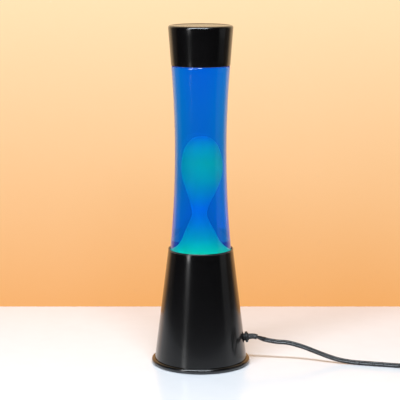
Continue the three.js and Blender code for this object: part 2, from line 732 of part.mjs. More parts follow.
function bulbAssembly() {
  const members = group(
    piece('bulb_tip', bulbTipContact(), solder),
    piece('bulb_insulator', bulbInsulator(), phenolic),
    piece('bulb_cap', bulbCap(), brass),
    piece('bulb_glass', bulbGlass(), clearGlass),
    piece('bulb_stem', bulbStem(), clearGlass),
    piece('bulb_filament', bulbFilament(), tungsten),
  );
  return placed(members, 0, 0, bulbTip);
}

// ---------------------------------------------------------------- the lead inside the base

// Turned about +Z and then laid along the wall's outward normal, where the lead leaves.
function cordGrommet() {
  const wallIn = -shell.wall;
  const keeperEnd = wallIn - grommet.keeperSetBack;
  const keeperStart = keeperEnd - grommet.keeperLength;
  const flangeEnd = grommet.standOff + grommet.flange;
  return turned([
    [0, keeperStart - grommet.tail], [grommet.tailRadius, keeperStart - grommet.tail],
    [grommet.neck, keeperStart], [grommet.keeper, keeperStart + grommet.edge],
    [grommet.keeper, keeperEnd], [grommet.neck, keeperEnd], [grommet.neck, grommet.standOff],
    [grommet.flangeRadius - grommet.edge, grommet.standOff],
    [grommet.flangeRadius, grommet.standOff + grommet.edge],
    [grommet.flangeRadius, flangeEnd - grommet.edge], [grommet.flangeRadius - grommet.edge, flangeEnd],
    [grommet.sleeveRadius, flangeEnd], [grommet.sleeveEnd, flangeEnd + grommet.sleeve],
    [0, flangeEnd + grommet.sleeve],
  ], facets.medium).rotateY(Math.PI / 2 - wallLean).translate(exitRadius, 0, cord.exitHeight);
}

function innerCord() {
  const low = plateTop + clearance + clamp.cordRadius;
  const tail = shell.wall + grommet.keeperSetBack + grommet.keeperLength + grommet.tail + 2 * clearance;
  const along = (distance) => [
    exitRadius - distance * Math.cos(wallLean), 0, cord.exitHeight - distance * Math.sin(wallLean),
  ];
  return tube([
    along(tail), along(tail + 4), [28.5, -10, 22], [20, -22, 12.5], [10, -29.5, low + 0.6],
    [4, -clamp.reach, low], [-5, -clamp.reach, low],
  ], clamp.cordRadius, 16);
}

// One of the two cores, from the sheath's end up through the nipple to the holder's insert.
function coreWire(side) {
  const sheathEnd = plateTop + clearance + clamp.cordRadius;
  const low = plateTop + clearance + core.radius;
  const end = insertTop - holder.insertFloor - clearance;
  // Each point of the pair's middle line, then the level direction to the wire on its left.
  const route = [
    [-5.3, -clamp.reach, sheathEnd, 0, -1], [-11, -clamp.reach + 1, low + 0.3, -0.3, -1],
    [-17, -24, low, -1, -0.2], [-14, -12, low, -1, 0.4], [-4, -2.5, low + 0.2, -0.7, 0.7],
    [-0.4, -0.3, low + 2.4, -0.9, 0.4], [0, 0, low + 5.5, -1, 0], [0, 0, end - 4, -1, 0],
    [0, 0, end, -1, 0],
  ];
  const shift = side * core.spread;
  return tube(route.map(([x, y, z, dx, dy]) => [x + shift * dx, y + shift * dy, z]), core.radius, 26, 6);
}

function cordClamp() {
  const under = plateTop + clamp.padHeight + clearance;
  const bar = block(clamp.width, clamp.spacing + 2 * pad.radius, clamp.thickness)
    .translate(0, -clamp.reach, under + clamp.thickness / 2);
  const holes = clampPads.map(({ x, y }) => rod(screw.shank + clearance, through).translate(x, y, under));
  return cut(bar, ...holes);
}

function wiring() {
  return group(
    piece('cord_grommet', cordGrommet(), blackRubber),
    piece('inner_cord', innerCord(), blackPlastic),
    piece('live_wire', coreWire(1), brownCore),
    piece('neutral_wire', coreWire(-1), copperCore),
    piece('cord_clamp', cordClamp(), blackPlastic),
  );
}

// ---------------------------------------------------------------- the free lead, its coil and tie

function cordCoil() {
  const [inner, outer] = [coil.radius - coil.band / 2, coil.radius + coil.band / 2];
  const [low, high] = [coil.lift, coil.lift + coil.height];
  const { edge } = coil;
  const section = [
    [inner, low + edge], [inner + edge, low], [outer - edge, low], [outer, low + edge],
    [outer, high - edge], [outer - edge, high], [inner + edge, high], [inner, high - edge],
  ];
  return ring(section, facets.large).translate(coil.x, coil.y, 0);
}

// A band round the coil's section, on the side that faces away from the lead.
function coilTie() {
  const reach = coil.band / 2 + tie.slack;
  const [low, high] = [coil.lift - clearance, coil.lift + coil.height + clearance];
  const t = tie.thickness;
  const outer = block(2 * (reach + t), tie.width, high - low + 2 * t);
  const inner = block(2 * reach, through, high - low);
  const band = cut(outer, inner).translate(-coil.radius, 0, (low + high) / 2);
  return band.rotateZ(THREE.MathUtils.degToRad(tie.angle)).translate(coil.x, coil.y, 0);
}

function freeLead() {
  return group(
    piece('cord_to_switch', tube(leadToSwitch, cord.radius, 30), blackPlastic),
    piece('cord_to_coil', tube(leadToCoil, cord.radius, 3), blackPlastic),
    piece('cord_coil', cordCoil(), blackPlastic),
    piece('cord_to_plug', tube(leadToPlug, cord.radius, 12), blackPlastic),
    piece('coil_tie', coilTie(), blackRubber),
  );
}

// ---------------------------------------------------------------- inline switch, about its middle

const parting = inline.height / 2;
const axleHeight = inline.height - rocker.axleDepth;

function hollowHalf(height, floor, opensUp) {
  const body = extruded(roundedRectangle(inline.length, inline.width, inline.corner), height);
  const pocket = extruded(
    roundedRectangle(inline.length - 2 * inline.wall, inline.width - 2 * inline.wall, inline.corner / 2),
    height,
  ).translate(0, 0, opensUp ? floor : -floor);
  return { body, pocket };
}

// A rod at each of the two screws, between two heights.
function atScrews(radius, from, to) {
  return [-1, 1].map((side) =>
    rod(radius, to - from).translate(side * inline.screwReach, 0, (from + to) / 2));
}

function switchBase() {
  const { body, pocket } = hollowHalf(parting, inline.floor, true);
  const shellHalf = join(cut(body, pocket), ...atScrews(post.radius, inline.floor - overlap, parting));
  const bores = atScrews(post.bore, -overlap, parting + overlap);
  return cut(shellHalf, ...bores, ...atScrews(post.counterbore, -overlap, post.counterDepth));
}

function switchCover() {
  const height = inline.height - parting - clearance;
  const { body, pocket } = hollowHalf(height, inline.roof, false);
  const window = block(inline.windowLength, inline.windowWidth, 3 * height);
  const under = height - inline.roof;
  const cover = join(cut(body, pocket), ...atScrews(post.radius, 0, under + overlap));
  return cut(cover, window, ...atScrews(post.bore, -overlap, under)).translate(0, 0, parting + clearance);
}

// The rocker about its axle, tilted to the end that is pressed in.
function switchRocker() {
  const { halfLength, keel, depth, endDepth, endTop, middleTop } = rocker;
  const quarterTop = middleTop + (endTop - middleTop) / 4;
  const body = welded(strip([
    [-keel, -depth], [keel, -depth], [halfLength, -endDepth], [halfLength, endTop],
    [halfLength / 2, quarterTop], [0, middleTop], [-halfLength / 2, quarterTop],
    [-halfLength, endTop], [-halfLength, -endDepth],
  ], rocker.width));
  const axle = rod(rocker.axle, rocker.width + 2 * rocker.axleReach).rotateX(Math.PI / 2);
  const tilted = join(body, axle).rotateY(THREE.MathUtils.degToRad(rocker.tilt));
  return tilted.translate(0, 0, axleHeight);
}

function switchContact(side) {
  const low = inline.floor + clearance;
  const { far, near, rise, thickness, width } = strap;
  return welded(strip([
    [side * far, low], [side * near, low], [side * near, low + rise],
    [side * (near + thickness), low + rise], [side * (near + thickness), low + thickness],
    [side * far, low + thickness],
  ], width));
}

function switchScrew(side) {
  const { start, head, headHeight, shank } = postScrew;
  const length = inline.height - inline.roof - postScrew.short;
  return turned([
    [0, start], [head, start], [head, start + headHeight], [shank, start + headHeight],
    [shank, length], [0, length],
  ], facets.small).translate(side * inline.screwReach, 0, 0);
}

function inlineSwitch() {
  const members = group(
    piece('switch_base', switchBase(), blackPlastic),
    piece('switch_cover', switchCover(), blackPlastic),
    piece('switch_rocker', switchRocker(), blackPlastic),
    piece('switch_contact_1', switchContact(-1), brass),
    piece('switch_contact_2', switchContact(1), brass),
    piece('switch_screw_1', switchScrew(-1), zinc),
    piece('switch_screw_2', switchScrew(1), zinc),
  );
  return placed(members, inline.x, inline.y, 0);
}

// ---------------------------------------------------------------- flat two-pin plug, pointing to -X

const pinPlaces = [plug.pinSpacing / 2, -plug.pinSpacing / 2];

function plugBody() {
  const half = plug.width / 2;
  const face = -plug.tail - plug.body;
  const cheek = -plug.tail - plug.cheekStart;
  const top = [
    [0, plug.tailEnd / 2], [plug.tailTip - plug.tail, plug.tailWidth / 2], [cheek, half - plug.cheek],
    [cheek - plug.cheekLength, half], [face + plug.corner, half], [face, half - plug.corner],
  ];
  const plan = outline([...top, ...top.map(([x, y]) => [x, -y]).toReversed()]);
  const slab = new THREE.ExtrudeGeometry(plan, {
    depth: plug.thickness - 2 * plug.chamfer, bevelThickness: plug.chamfer,
    bevelSize: plug.chamfer, bevelOffset: -plug.chamfer, bevelSegments: 1,
  }).translate(0, 0, plug.chamfer);
  const holes = pinPlaces.map((y) =>
    rod(plug.pinRadius + clearance, plug.pinDepth + overlap).rotateY(Math.PI / 2)
      .translate(face + (plug.pinDepth - overlap) / 2, y, plug.thickness / 2));
  return cut(slab, ...holes);
}

function plugPin(y) {
  const face = -plug.tail - plug.body;
  const inside = plug.pinDepth - clearance;
  return turned([
    [0, -inside], [plug.pinRadius, -inside], [plug.pinRadius, plug.pinLength - plug.pinRound],
    [plug.pinRadius - plug.pinRound, plug.pinLength], [0, plug.pinLength],
  ], facets.small).rotateY(-Math.PI / 2).translate(face, y, plug.thickness / 2);
}

function mainsPlug() {
  const pins = pinPlaces.map((y, i) => piece(`plug_pin_${i + 1}`, plugPin(y), brass));
  return placed(group(piece('plug_body', plugBody(), blackPlastic), ...pins), plug.x, plug.y, 0);
}

// ---------------------------------------------------------------- the whole lamp

export default group(
  piece('base_shell', baseShell(), blackPaint),
  piece('seat_ring', seatRing(), steel),
  plateAssembly(),
  holderAssembly(),
  bulbAssembly(),
  bottleAssembly(),
  wiring(),
  freeLead(),
  inlineSwitch(),
  mainsPlug(),
);
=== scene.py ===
"""The looks of a lava lamp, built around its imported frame. Metres, +Z up, the table at z = 0."""

import math

import bmesh
import bpy
import numpy as np
from mathutils import Matrix, Vector


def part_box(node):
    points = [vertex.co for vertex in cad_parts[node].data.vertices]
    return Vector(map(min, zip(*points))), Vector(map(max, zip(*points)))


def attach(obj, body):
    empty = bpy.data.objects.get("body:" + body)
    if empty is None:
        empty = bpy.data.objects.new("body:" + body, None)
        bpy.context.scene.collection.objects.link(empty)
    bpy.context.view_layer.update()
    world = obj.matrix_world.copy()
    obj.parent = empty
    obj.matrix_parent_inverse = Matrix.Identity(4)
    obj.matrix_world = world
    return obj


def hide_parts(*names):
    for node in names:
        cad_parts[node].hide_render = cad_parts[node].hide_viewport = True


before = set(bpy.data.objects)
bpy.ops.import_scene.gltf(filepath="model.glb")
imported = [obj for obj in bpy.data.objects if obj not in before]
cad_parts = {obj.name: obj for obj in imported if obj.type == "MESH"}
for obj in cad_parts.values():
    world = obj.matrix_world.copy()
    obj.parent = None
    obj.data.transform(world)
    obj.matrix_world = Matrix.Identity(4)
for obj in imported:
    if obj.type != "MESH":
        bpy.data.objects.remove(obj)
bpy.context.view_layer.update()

scene = bpy.context.scene
TURN = 2 * math.pi
SIDES = (-1, 1)

# ---------------------------------------------------------------- the lead's route, as in the part

TO_SWITCH = [
    (0.0589, 0, 0.0300), (0.0625, 0, 0.0299), (0.0680, 0, 0.0283), (0.0750, 0, 0.0259),
    (0.0878, -0.0010, 0.0237), (0.1010, -0.0020, 0.0228), (0.1120, -0.0033, 0.0204),
    (0.1223, -0.0047, 0.0173), (0.1316, -0.0062, 0.0139), (0.1410, -0.0078, 0.0106),
    (0.1500, -0.0095, 0.0076), (0.1598, -0.0112, 0.0050), (0.1720, -0.0140, 0.0033),
    (0.1843, -0.0173, 0.0029), (0.2085, -0.0238, 0.0029), (0.2290, -0.0290, 0.0029),
    (0.2380, -0.0308, 0.0036), (0.2460, -0.0318, 0.0056), (0.2520, -0.0320, 0.0069),
    (0.2559, -0.0320, 0.0070),
]
TO_COIL = [(0.3167, -0.0320, 0.0070), (0.3200, -0.0320, 0.0067), (0.3260, -0.0320, 0.0054)]
TO_PLUG = [
    (0.3790, 0.0210, 0.0080), (0.3790, 0.0270, 0.0056), (0.3780, 0.0350, 0.0036),
    (0.3745, 0.0440, 0.0029), (0.3680, 0.0520, 0.0032), (0.3610, 0.0570, 0.0048),
    (0.3540, 0.0585, 0.0067), (0.3504, 0.0585, 0.0068),
]
CORD_WIDTH = 0.0056
CORD_THICKNESS = 0.0032
COIL_MIDDLE = (0.34465, 0.00235)
COIL_RADIUS = 0.0292
COIL_PITCH = 0.0033
COIL_LAYER_TURNS = 3.125
TIE_ANGLE = math.radians(120)


def between(u, low, high, first, last):
    """The point at u on a line that is at first for low and at last for high."""
    return (high - u) / (high - low) * first + (u - low) / (high - low) * last


def smooth_path(points, spacing):
    """A centripetal Catmull-Rom curve through the points, sampled at even steps."""
    pts = [np.array(p, float) for p in points]
    pts = [2 * pts[0] - pts[1], *pts, 2 * pts[-1] - pts[-2]]
    out = []
    for i in range(1, len(pts) - 2):
        four = pts[i - 1:i + 3]
        t = np.cumsum([0] + [math.sqrt(np.linalg.norm(b - a)) for a, b in zip(four, four[1:])])
        count = max(2, round(np.linalg.norm(four[2] - four[1]) / spacing))
        for u in np.linspace(t[1], t[2], count, endpoint=False):
            three = [between(u, t[k], t[k + 1], four[k], four[k + 1]) for k in range(3)]
            two = [between(u, t[k], t[k + 2], three[k], three[k + 1]) for k in range(2)]
            out.append(between(u, t[1], t[2], *two))
    return [*out, pts[-2]]


def ease(x, low, high):
    """0 below low, 1 above high, and smooth between them."""
    t = min(max((x - low) / (high - low), 0), 1)
    return t * t * (3 - 2 * t)


def arc(r, z, radius, start, end, steps, rise=None):
    """Points of a circular or elliptical arc, in degrees from the radial direction."""
    rise = radius if rise is None else rise
    turns = [math.radians(start + (end - start) * i / steps) for i in range(steps + 1)]
    return [(r + radius * math.cos(a), z + rise * math.sin(a)) for a in turns]


# ---------------------------------------------------------------- materials

class Look:
    """A new material with its node tree and its Principled shader."""

    def __init__(self, name):
        self.name = name
        self.material = bpy.data.materials.new(name)
        self.material.use_nodes = True
        self.tree = self.material.node_tree
        self.shader = self.tree.nodes["Principled BSDF"]

    def fill(self, target, inputs):
        """Sets a node's inputs, where an input is a value or another node's output."""
        for key, value in inputs.items():
            if isinstance(value, bpy.types.NodeSocket):
                self.tree.links.new(value, target.inputs[key])
            else:
                target.inputs[key].default_value = value

    def surface(self, inputs):
        self.fill(self.shader, inputs)
        return self

    def output(self, kind, socket):
        self.tree.links.new(socket, self.tree.nodes["Material Output"].inputs[kind])

    def node(self, kind, inputs=(), **settings):
        made = self.tree.nodes.new("ShaderNode" + kind)
        for key, value in settings.items():
            setattr(made, key, value)
        self.fill(made, dict(inputs))
        return made

    def place(self):
        """The point on the surface, in the object's own frame."""
        return self.node("TexCoord").outputs["Object"]

    def axis(self, letter):
        return self.node("SeparateXYZ", {"Vector": self.place()}).outputs[letter]

    def noise(self, scale, detail=3, stretch=(1, 1, 1)):
        """A noise pattern in object space. Scale is in features for each metre."""
        mapped = self.node("Mapping", {"Vector": self.place(), "Scale": stretch}).outputs["Vector"]
        return self.node("TexNoise", {"Vector": mapped, "Scale": scale, "Detail": detail}).outputs["Fac"]

    def ranged(self, value, low, high, from_low=0.3, from_high=0.7):
        """A value mapped from one range to another, and held at its ends."""
        return self.node("MapRange", {
            "Value": value, "From Min": from_low, "From Max": from_high, "To Min": low, "To Max": high,
        }).outputs["Result"]

    def blended(self, factor, *colours):
        """A colour between two, by a factor."""
        first, last = [c if isinstance(c, bpy.types.NodeSocket) else (*c, 1) for c in colours]
        return self.node("Mix", {"Factor": factor, "A": first, "B": last}, data_type="RGBA").outputs["Result"]

    def bump(self, strength, distance, height):
        inputs = {"Strength": strength, "Distance": distance, "Height": height}
        return self.node("Bump", inputs).outputs["Normal"]


def varied(name, colour, rough, grain, metallic=0, tone=0.2, spread=0.15, bump=0.1, relief=0.0001,
           stretch=(1, 1, 1), **sockets):
    """A material whose colour, roughness and relief vary with noise. Grain is features for each metre."""
    look = Look(name)
    pattern = look.noise(grain, 4, stretch)
    both = look.node("Math", {0: pattern, 1: look.noise(grain / 12, 2)}, operation="ADD").outputs["Value"]
    dark = [c * (1 - tone) for c in colour]
    light = [min(c * (1 + tone), 1) for c in colour]
    return look.surface({
        "Base Color": look.blended(look.ranged(both, 0, 1, 0.8, 1.2), dark, light),
        "Roughness": look.ranged(both, rough * (1 - spread), rough * (1 + spread), 0.8, 1.2),
        "Metallic": metallic,
        "Normal": look.bump(bump, relief, pattern),
        **{key.replace("_", " "): value for key, value in sockets.items()},
    })


def glass_look():
    """Blown glass: a trace of blue-green, and long faint waves down the side from the mould."""
    look = Look("clear_glass")
    waves = look.noise(60, 2, (1, 1, 0.06))
    return look.surface({
        "Base Color": look.blended(look.ranged(waves, 0, 1), (0.88, 0.975, 0.985), (0.96, 0.995, 1)),
        "Roughness": 0, "IOR": 1.47, "Transmission Weight": 1, "Normal": look.bump(0.35, 0.0006, waves),
    })


def liquid_look():
    """Clear blue liquid: it takes the red out of light that passes through, and has a painted glow that
    stands in for the bulb's light.
    """
    look = Look("blue_liquid")
    absorb = look.node("VolumeAbsorption", {"Color": (0.0, 0.90, 0.996, 1), "Density": 300})
    # painted light: an even blue glow in the liquid, in place of the bulb's light shining through it
    painted_bulb_glow = look.node("Emission", {"Color": (0.0, 0.19, 1.0, 1), "Strength": 5.8})
    both = look.node("AddShader", {0: absorb.outputs["Volume"], 1: painted_bulb_glow.outputs["Emission"]})
    look.output("Volume", both.outputs["Shader"])
    swirl = look.noise(14, 2, (1, 1, 0.4))
    return look.surface({
        "Base Color": look.blended(look.ranged(swirl, 0, 1), (0.90, 0.96, 1.0), (1, 1, 1)),
        "Roughness": 0, "IOR": 1.33, "Transmission Weight": 1,
    })


# The wax's colour and glow at shares of its height, painted: green where the bulb below would light it, blue
# where the wax is thin.
WAX_PAINTED_GLOW = [
    (0.00, (0.01, 0.86, 0.32)), (0.12, (0.01, 0.54, 0.36)), (0.24, (0.01, 0.36, 0.45)),
    (0.36, (0.01, 0.28, 0.55)), (0.47, (0.01, 0.36, 0.45)), (0.62, (0.01, 0.48, 0.38)),
    (0.78, (0.01, 0.56, 0.36)), (0.90, (0.01, 0.52, 0.44)), (1.00, (0.01, 0.36, 0.52)),
]
WAX_CLOUD = (0.02, 0.85, 0.70)


def wax_look(low, high):
    """Wax with a painted glow, a little stronger low down, that stands in for the bulb's light, and a faint
    cloudiness.
    """
    look = Look("wax")
    climb = look.ranged(look.axis("Z"), 0, 1, low, high)
    ramp = look.node("ValToRGB", {"Fac": climb})
    stops = ramp.color_ramp.elements
    while len(stops) < len(WAX_PAINTED_GLOW):
        stops.new(0.5)
    for stop, (share, colour) in zip(stops, WAX_PAINTED_GLOW):
        stop.position, stop.color = share, (*colour, 1)
    cloud = look.noise(55, 3)
    tint = look.blended(look.ranged(cloud, 0, 0.12), ramp.outputs["Color"], WAX_CLOUD)
    # painted light: the height ramp sets both the colour and the glow
    return look.surface({
        "Base Color": tint, "Emission Color": tint, "Emission Strength": look.ranged(climb, 0.75, 0.6, 0, 1),
        "Roughness": look.ranged(cloud, 0.35, 0.5), "Normal": look.bump(0.2, 0.0005, cloud),
    })


def bulb_glass_look(frost_from, frost_to):
    """Silvered round the neck and the side, frosted over the front, which glows warm."""
    look = Look("bulb_glass")
    front = look.ranged(look.axis("Z"), 0, 1, frost_from, frost_to)
    frost = look.blended(look.ranged(look.noise(900, 3), 0, 1), (0.80, 0.79, 0.75), (0.93, 0.92, 0.88))
    return look.surface({
        "Base Color": look.blended(front, (0.62, 0.62, 0.63), frost),
        "Metallic": look.ranged(front, 1, 0, 0, 1), "Roughness": look.ranged(front, 0.12, 0.6, 0, 1),
        "Emission Color": (1, 0.78, 0.50, 1), "Emission Strength": look.ranged(front, 0, 0.8, 0, 1),
    })


def strap_look():
    """A woven hook-and-loop strap."""
    look = Look("woven_strap")
    weave = look.node("TexVoronoi", {"Vector": look.place(), "Scale": 1600}).outputs["Distance"]
    share = look.ranged(weave, 0, 1, 0, 0.6)
    return look.surface({
        "Base Color": look.blended(share, (0.006, 0.006, 0.007), (0.05, 0.05, 0.055)),
        "Normal": look.bump(0.8, 0.0003, weave), "Roughness": 0.85, "Sheen Weight": 0.3,
    })


LOOKS = {look.name: look.material for look in (
    varied("black_paint", (0.002, 0.0017, 0.0018), 0.19, 1500, tone=0.08, spread=0.03, bump=0.03,
           relief=0.00003, Coat_Weight=0.3, Coat_Roughness=0.08),
    varied("steel", (0.52, 0.53, 0.55), 0.3, 900, 1, bump=0.15, stretch=(1, 1, 6)),
    varied("zinc", (0.50, 0.51, 0.54), 0.38, 500, 1, tone=0.3, spread=0.3, bump=0.2),
    varied("brass", (0.70, 0.50, 0.22), 0.26, 700, 1, tone=0.25, spread=0.3, bump=0.12),
    varied("black_plastic", (0.013, 0.013, 0.014), 0.42, 1800, bump=0.25, relief=0.00006),
    varied("cord_sheath", (0.005, 0.005, 0.006), 0.27, 700, bump=0.1, relief=0.00005,
           Coat_Weight=0.15, Coat_Roughness=0.2),
    varied("rubber", (0.006, 0.006, 0.006), 0.55, 1400, bump=0.25, relief=0.00008),
    varied("phenolic", (0.022, 0.019, 0.017), 0.24, 260, tone=0.4, bump=0.05),
    varied("ceramic", (0.74, 0.70, 0.62), 0.3, 420, tone=0.05, bump=0.1),
    varied("liner", (0.55, 0.53, 0.48), 0.7, 1500, tone=0.1, bump=0.3),
    varied("solder", (0.60, 0.61, 0.63), 0.35, 1500, 1, bump=0.3),
    varied("live_core", (0.16, 0.055, 0.02), 0.42, 900, bump=0.1),
    varied("neutral_core", (0.03, 0.13, 0.42), 0.42, 900, bump=0.1),
    varied("tungsten", (0.25, 0.24, 0.22), 0.4, 3000, 1, bump=0.4),
    glass_look(), liquid_look(), strap_look(),
)}

# ---------------------------------------------------------------- mesh helpers

def extent(name):
    """A round CAD part's lowest and highest point, and its largest radius."""
    low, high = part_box(name)
    return low[2], high[2], high[0]


def pushed(x, y, z, r, out):
    """A point moved away from the Z axis by a distance."""
    grow = 1 + out / r
    return x * grow, y * grow, z


def grid_faces(rows, columns, wrap_rows, wrap_columns=True):
    """Quads of a grid of vertices, numbered row by row."""
    faces = []
    for i in range(rows if wrap_rows else rows - 1):
        for j in range(columns if wrap_columns else columns - 1):
            a, b = i % rows, (i + 1) % rows
            c, d = j, (j + 1) % columns
            faces.append((a * columns + c, a * columns + d, b * columns + d, b * columns + c))
    return faces


def turned(profile, sides=128, closed=False, shape=None):
    """A solid of revolution about Z. shape(x, y, z, r) may move a point."""
    spin = np.arange(sides) / sides * TURN
    points = []
    for r, z in profile:
        x, y = r * np.cos(spin), r * np.sin(spin)
        points += [(a, b, z) for a, b in zip(x, y)]
    if shape:
        points = [shape(x, y, z, math.hypot(x, y)) for x, y, z in points]
    return points, grid_faces(len(profile), sides, closed)


def lofted(rings, closed_ends=True):
    """A skin through rings of points that all have the same count."""
    sides = len(rings[0])
    points = [p for ring in rings for p in ring]
    faces = grid_faces(len(rings), sides, False)
    if closed_ends:
        last = (len(rings) - 1) * sides
        faces += [tuple(range(sides))[::-1], tuple(range(last, last + sides))]
    return points, faces


def distances_along(path):
    steps = np.linalg.norm(np.diff(np.array(path), axis=0), axis=1)
    return np.concatenate([[0], np.cumsum(steps)])


def swept(path, section, tilt=lambda distance: 0.0, shrink=lambda distance: 1.0):
    """A section of (across, up) points along a path, with up turned from the vertical by tilt."""
    path = np.array(path)
    along = np.gradient(path, axis=0)
    rings = []
    for p, t, s in zip(path, along, distances_along(path)):
        t = t / np.linalg.norm(t)
        side = np.cross(t, (0, 0, 1))
        side = side / np.linalg.norm(side)
        up = np.cross(side, t)
        angle, size = tilt(s), shrink(s)
        u = up * math.cos(angle) + side * math.sin(angle)
        v = side * math.cos(angle) - up * math.sin(angle)
        rings.append([tuple(p + size * (a * v + b * u)) for a, b in section])
    return lofted(rings)


def rounded_rectangle(length, width, corner, steps=6):
    """A rounded rectangle's outline about its middle, as (x, y) points."""
    x, y = length / 2 - corner, width / 2 - corner
    corners = ((x, y, 0), (-x, y, 90), (-x, -y, 180), (x, -y, 270))
    return [p for cx, cy, a in corners for p in arc(cx, cy, corner, a, a + 90, steps)]


def at_height(points, z):
    return [(x, y, z) for x, y in points]


def bar(length, width, height, bevel=0.0004):
    """A block about its middle, with rounded edges."""
    rows = [(bevel, -height / 2), (0.3 * bevel, 0.3 * bevel - height / 2), (0, bevel - height / 2)]
    rows += [(inset, -z) for inset, z in rows[::-1]]
    return lofted([at_height(rounded_rectangle(length - 2 * inset, width - 2 * inset, 1.3 * bevel, 3), z)
                   for inset, z in rows])


def strip(outline, width, bevel=0.0002):
    """An outline in X and Z, with a width along Y."""
    half = width / 2
    return lofted([[(x, y, z) for x, z in outline] for y in (-half, bevel - half, half - bevel, half)])


def moved(shape, x=0, y=0, z=0, turn=None):
    """A shape turned by a matrix and then moved."""
    points, faces = shape
    place = Matrix.Translation((x, y, z)) @ (turn or Matrix.Identity(4))
    return [tuple(place @ Vector(p)) for p in points], faces


def together(*shapes):
    """Several shapes as one."""
    points, faces = [], []
    for more, sides in shapes:
        faces += [tuple(i + len(points) for i in f) for f in sides]
        points += more
    return points, faces


def about(axis, degrees):
    return Matrix.Rotation(math.radians(degrees), 4, axis)


UPSIDE_DOWN = about("X", 180)


def mesh_of(name, shape):
    """A clean mesh: doubled points joined, empty faces dropped and all faces outwards."""
    points, faces = shape
    mesh = bpy.data.meshes.new(name)
    mesh.from_pydata([tuple(map(float, p)) for p in points], [], faces)
    work = bmesh.new()
    work.from_mesh(mesh)
    bmesh.ops.remove_doubles(work, verts=work.verts, dist=1e-6)
    bmesh.ops.dissolve_degenerate(work, edges=work.edges, dist=1e-7)
    bmesh.ops.recalc_face_normals(work, faces=work.faces)
    work.to_mesh(mesh)
    work.free()
    mesh.validate()
    return mesh


def cut(mesh, *tools):
    """The mesh with the tools' volumes taken away."""
    body = bpy.data.objects.new("body", mesh)
    scene.collection.objects.link(body)
    held = []
    for tool in tools:
        other = bpy.data.objects.new("tool", mesh_of("tool", tool))
        scene.collection.objects.link(other)
        step = body.modifiers.new("cut", "BOOLEAN")
        step.operation, step.solver, step.object = "DIFFERENCE", "EXACT", other
        held.append(other)
    bpy.context.view_layer.update()
    result = bpy.data.meshes.new_from_object(body.evaluated_get(bpy.context.evaluated_depsgraph_get()))
    for unwanted in (body, *held):
        bpy.data.objects.remove(unwanted)
    return result


def piece(name, mesh, body, slot, *nodes, look=None, sharp=32):
    """A visible piece: it rides on a body, takes its slot's finish and stands for CAD nodes."""
    if not isinstance(mesh, bpy.types.Mesh):
        mesh = mesh_of(name, mesh)
    mesh.name = name
    mesh.materials.clear()
    mesh.materials.append(LOOKS[look or slot])
    mesh.shade_smooth()
    mesh.set_sharp_from_angle(angle=math.radians(sharp))
    made = bpy.data.objects.new(name, mesh)
    scene.collection.objects.link(made)
    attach(made, body)
    if nodes:
        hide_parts(*nodes)
    return made


def around(count, radius, first=0.0):
    """Places round the Z axis at even angles, as (x, y, angle)."""
    turns = [first + TURN * i / count for i in range(count)]
    return [(radius * math.cos(a), radius * math.sin(a), a) for a in turns]


def rod(radius, length, sides=48, chamfer=0.0):
    """A cylinder along Z about its middle."""
    half = length / 2
    profile = [(0, -half), (radius - chamfer, -half), (radius, chamfer - half)]
    return turned(profile + [(r, -z) for r, z in profile[::-1]], sides)


def hole(radius, x, y, z, length=0.012, sides=48):
    """What a drill takes away: a rod along Z at a place, for cut()."""
    return moved(rod(radius, length, sides), x, y, z)


# ---------------------------------------------------------------- camera, lights and stage

# The photograph's view: from a little above, level with the lamp's axis, through a long lens.
CAMERA_PLACE = (-0.0008, -1.7045, 0.4946)
CAMERA_PITCH = 10.1
LENS = 136
# Each light: its place, what it points at, its width and height, its power and its colour.
LIGHTS = {
    "window": ((-0.2, -1.2, 1.65), (0, 0, 0.2), (1.9, 0.3), 62, (0.84, 0.92, 1)),
    "strip": ((-1.35, -1.5, 0.85), (0, 0, 0.45), (0.34, 1.3), 9.5, (1, 1, 1)),
    "fill": ((2.2, -0.15, 0.5), (0, 0, 0.15), (1.3, 1.6), 1.6, (1, 1, 1)),
    "over": ((0, -0.1, 2.2), (0, 0.1, 0), (1.8, 1.8), 10, (0.90, 0.95, 1)),
}
STAGE_HALF = 3.0
BACKDROP_Y = 0.26
BACKDROP_HEIGHT = 2.6


def make_camera():
    data = bpy.data.cameras.new("camera")
    data.lens = LENS
    data.sensor_width = 36
    data.clip_end = 50
    camera = bpy.data.objects.new("camera", data)
    camera.location = CAMERA_PLACE
    camera.rotation_euler = (math.radians(90 - CAMERA_PITCH), 0, 0)
    scene.collection.objects.link(camera)
    scene.camera = camera


def make_lights():
    """Studio lights that show on the gloss but not through the glass, and a nearly dark room."""
    for name, (place, target, size, power, colour) in LIGHTS.items():
        data = bpy.data.lights.new(name, "AREA")
        data.shape = "RECTANGLE"
        data.size, data.size_y = size
        data.energy = power
        data.color = colour
        light = bpy.data.objects.new(name, data)
        light.location = place
        light.rotation_euler = (Vector(target) - Vector(place)).to_track_quat("-Z", "Y").to_euler()
        light.visible_camera = light.visible_transmission = False
        scene.collection.objects.link(light)
    world = bpy.data.worlds.new("room")
    world.use_nodes = True
    background = world.node_tree.nodes["Background"]
    background.inputs["Color"].default_value = (0.85, 0.88, 0.95, 1)
    background.inputs["Strength"].default_value = 0.02
    scene.world = world
    scene.view_settings.view_transform = "Standard"


def table_look():
    """A painted pool of light: pale near the lamp and painted dark further off, so that it puts no veil on
    the black paint.
    """
    look = varied("table", (0.80, 0.82, 0.85), 0.18, 40, tone=0.01, spread=0.05, bump=0.0)
    reach = look.node("VectorMath", {0: look.place()}, operation="LENGTH").outputs["Value"]
    near = look.shader.inputs["Base Color"].links[0].from_socket
    # painted shade: the table darkens with its distance from the lamp
    tint = look.blended(look.ranged(reach, 0, 1, 0.38, 0.7), near, (0.03, 0.03, 0.03))
    return look.surface({"Base Color": tint})


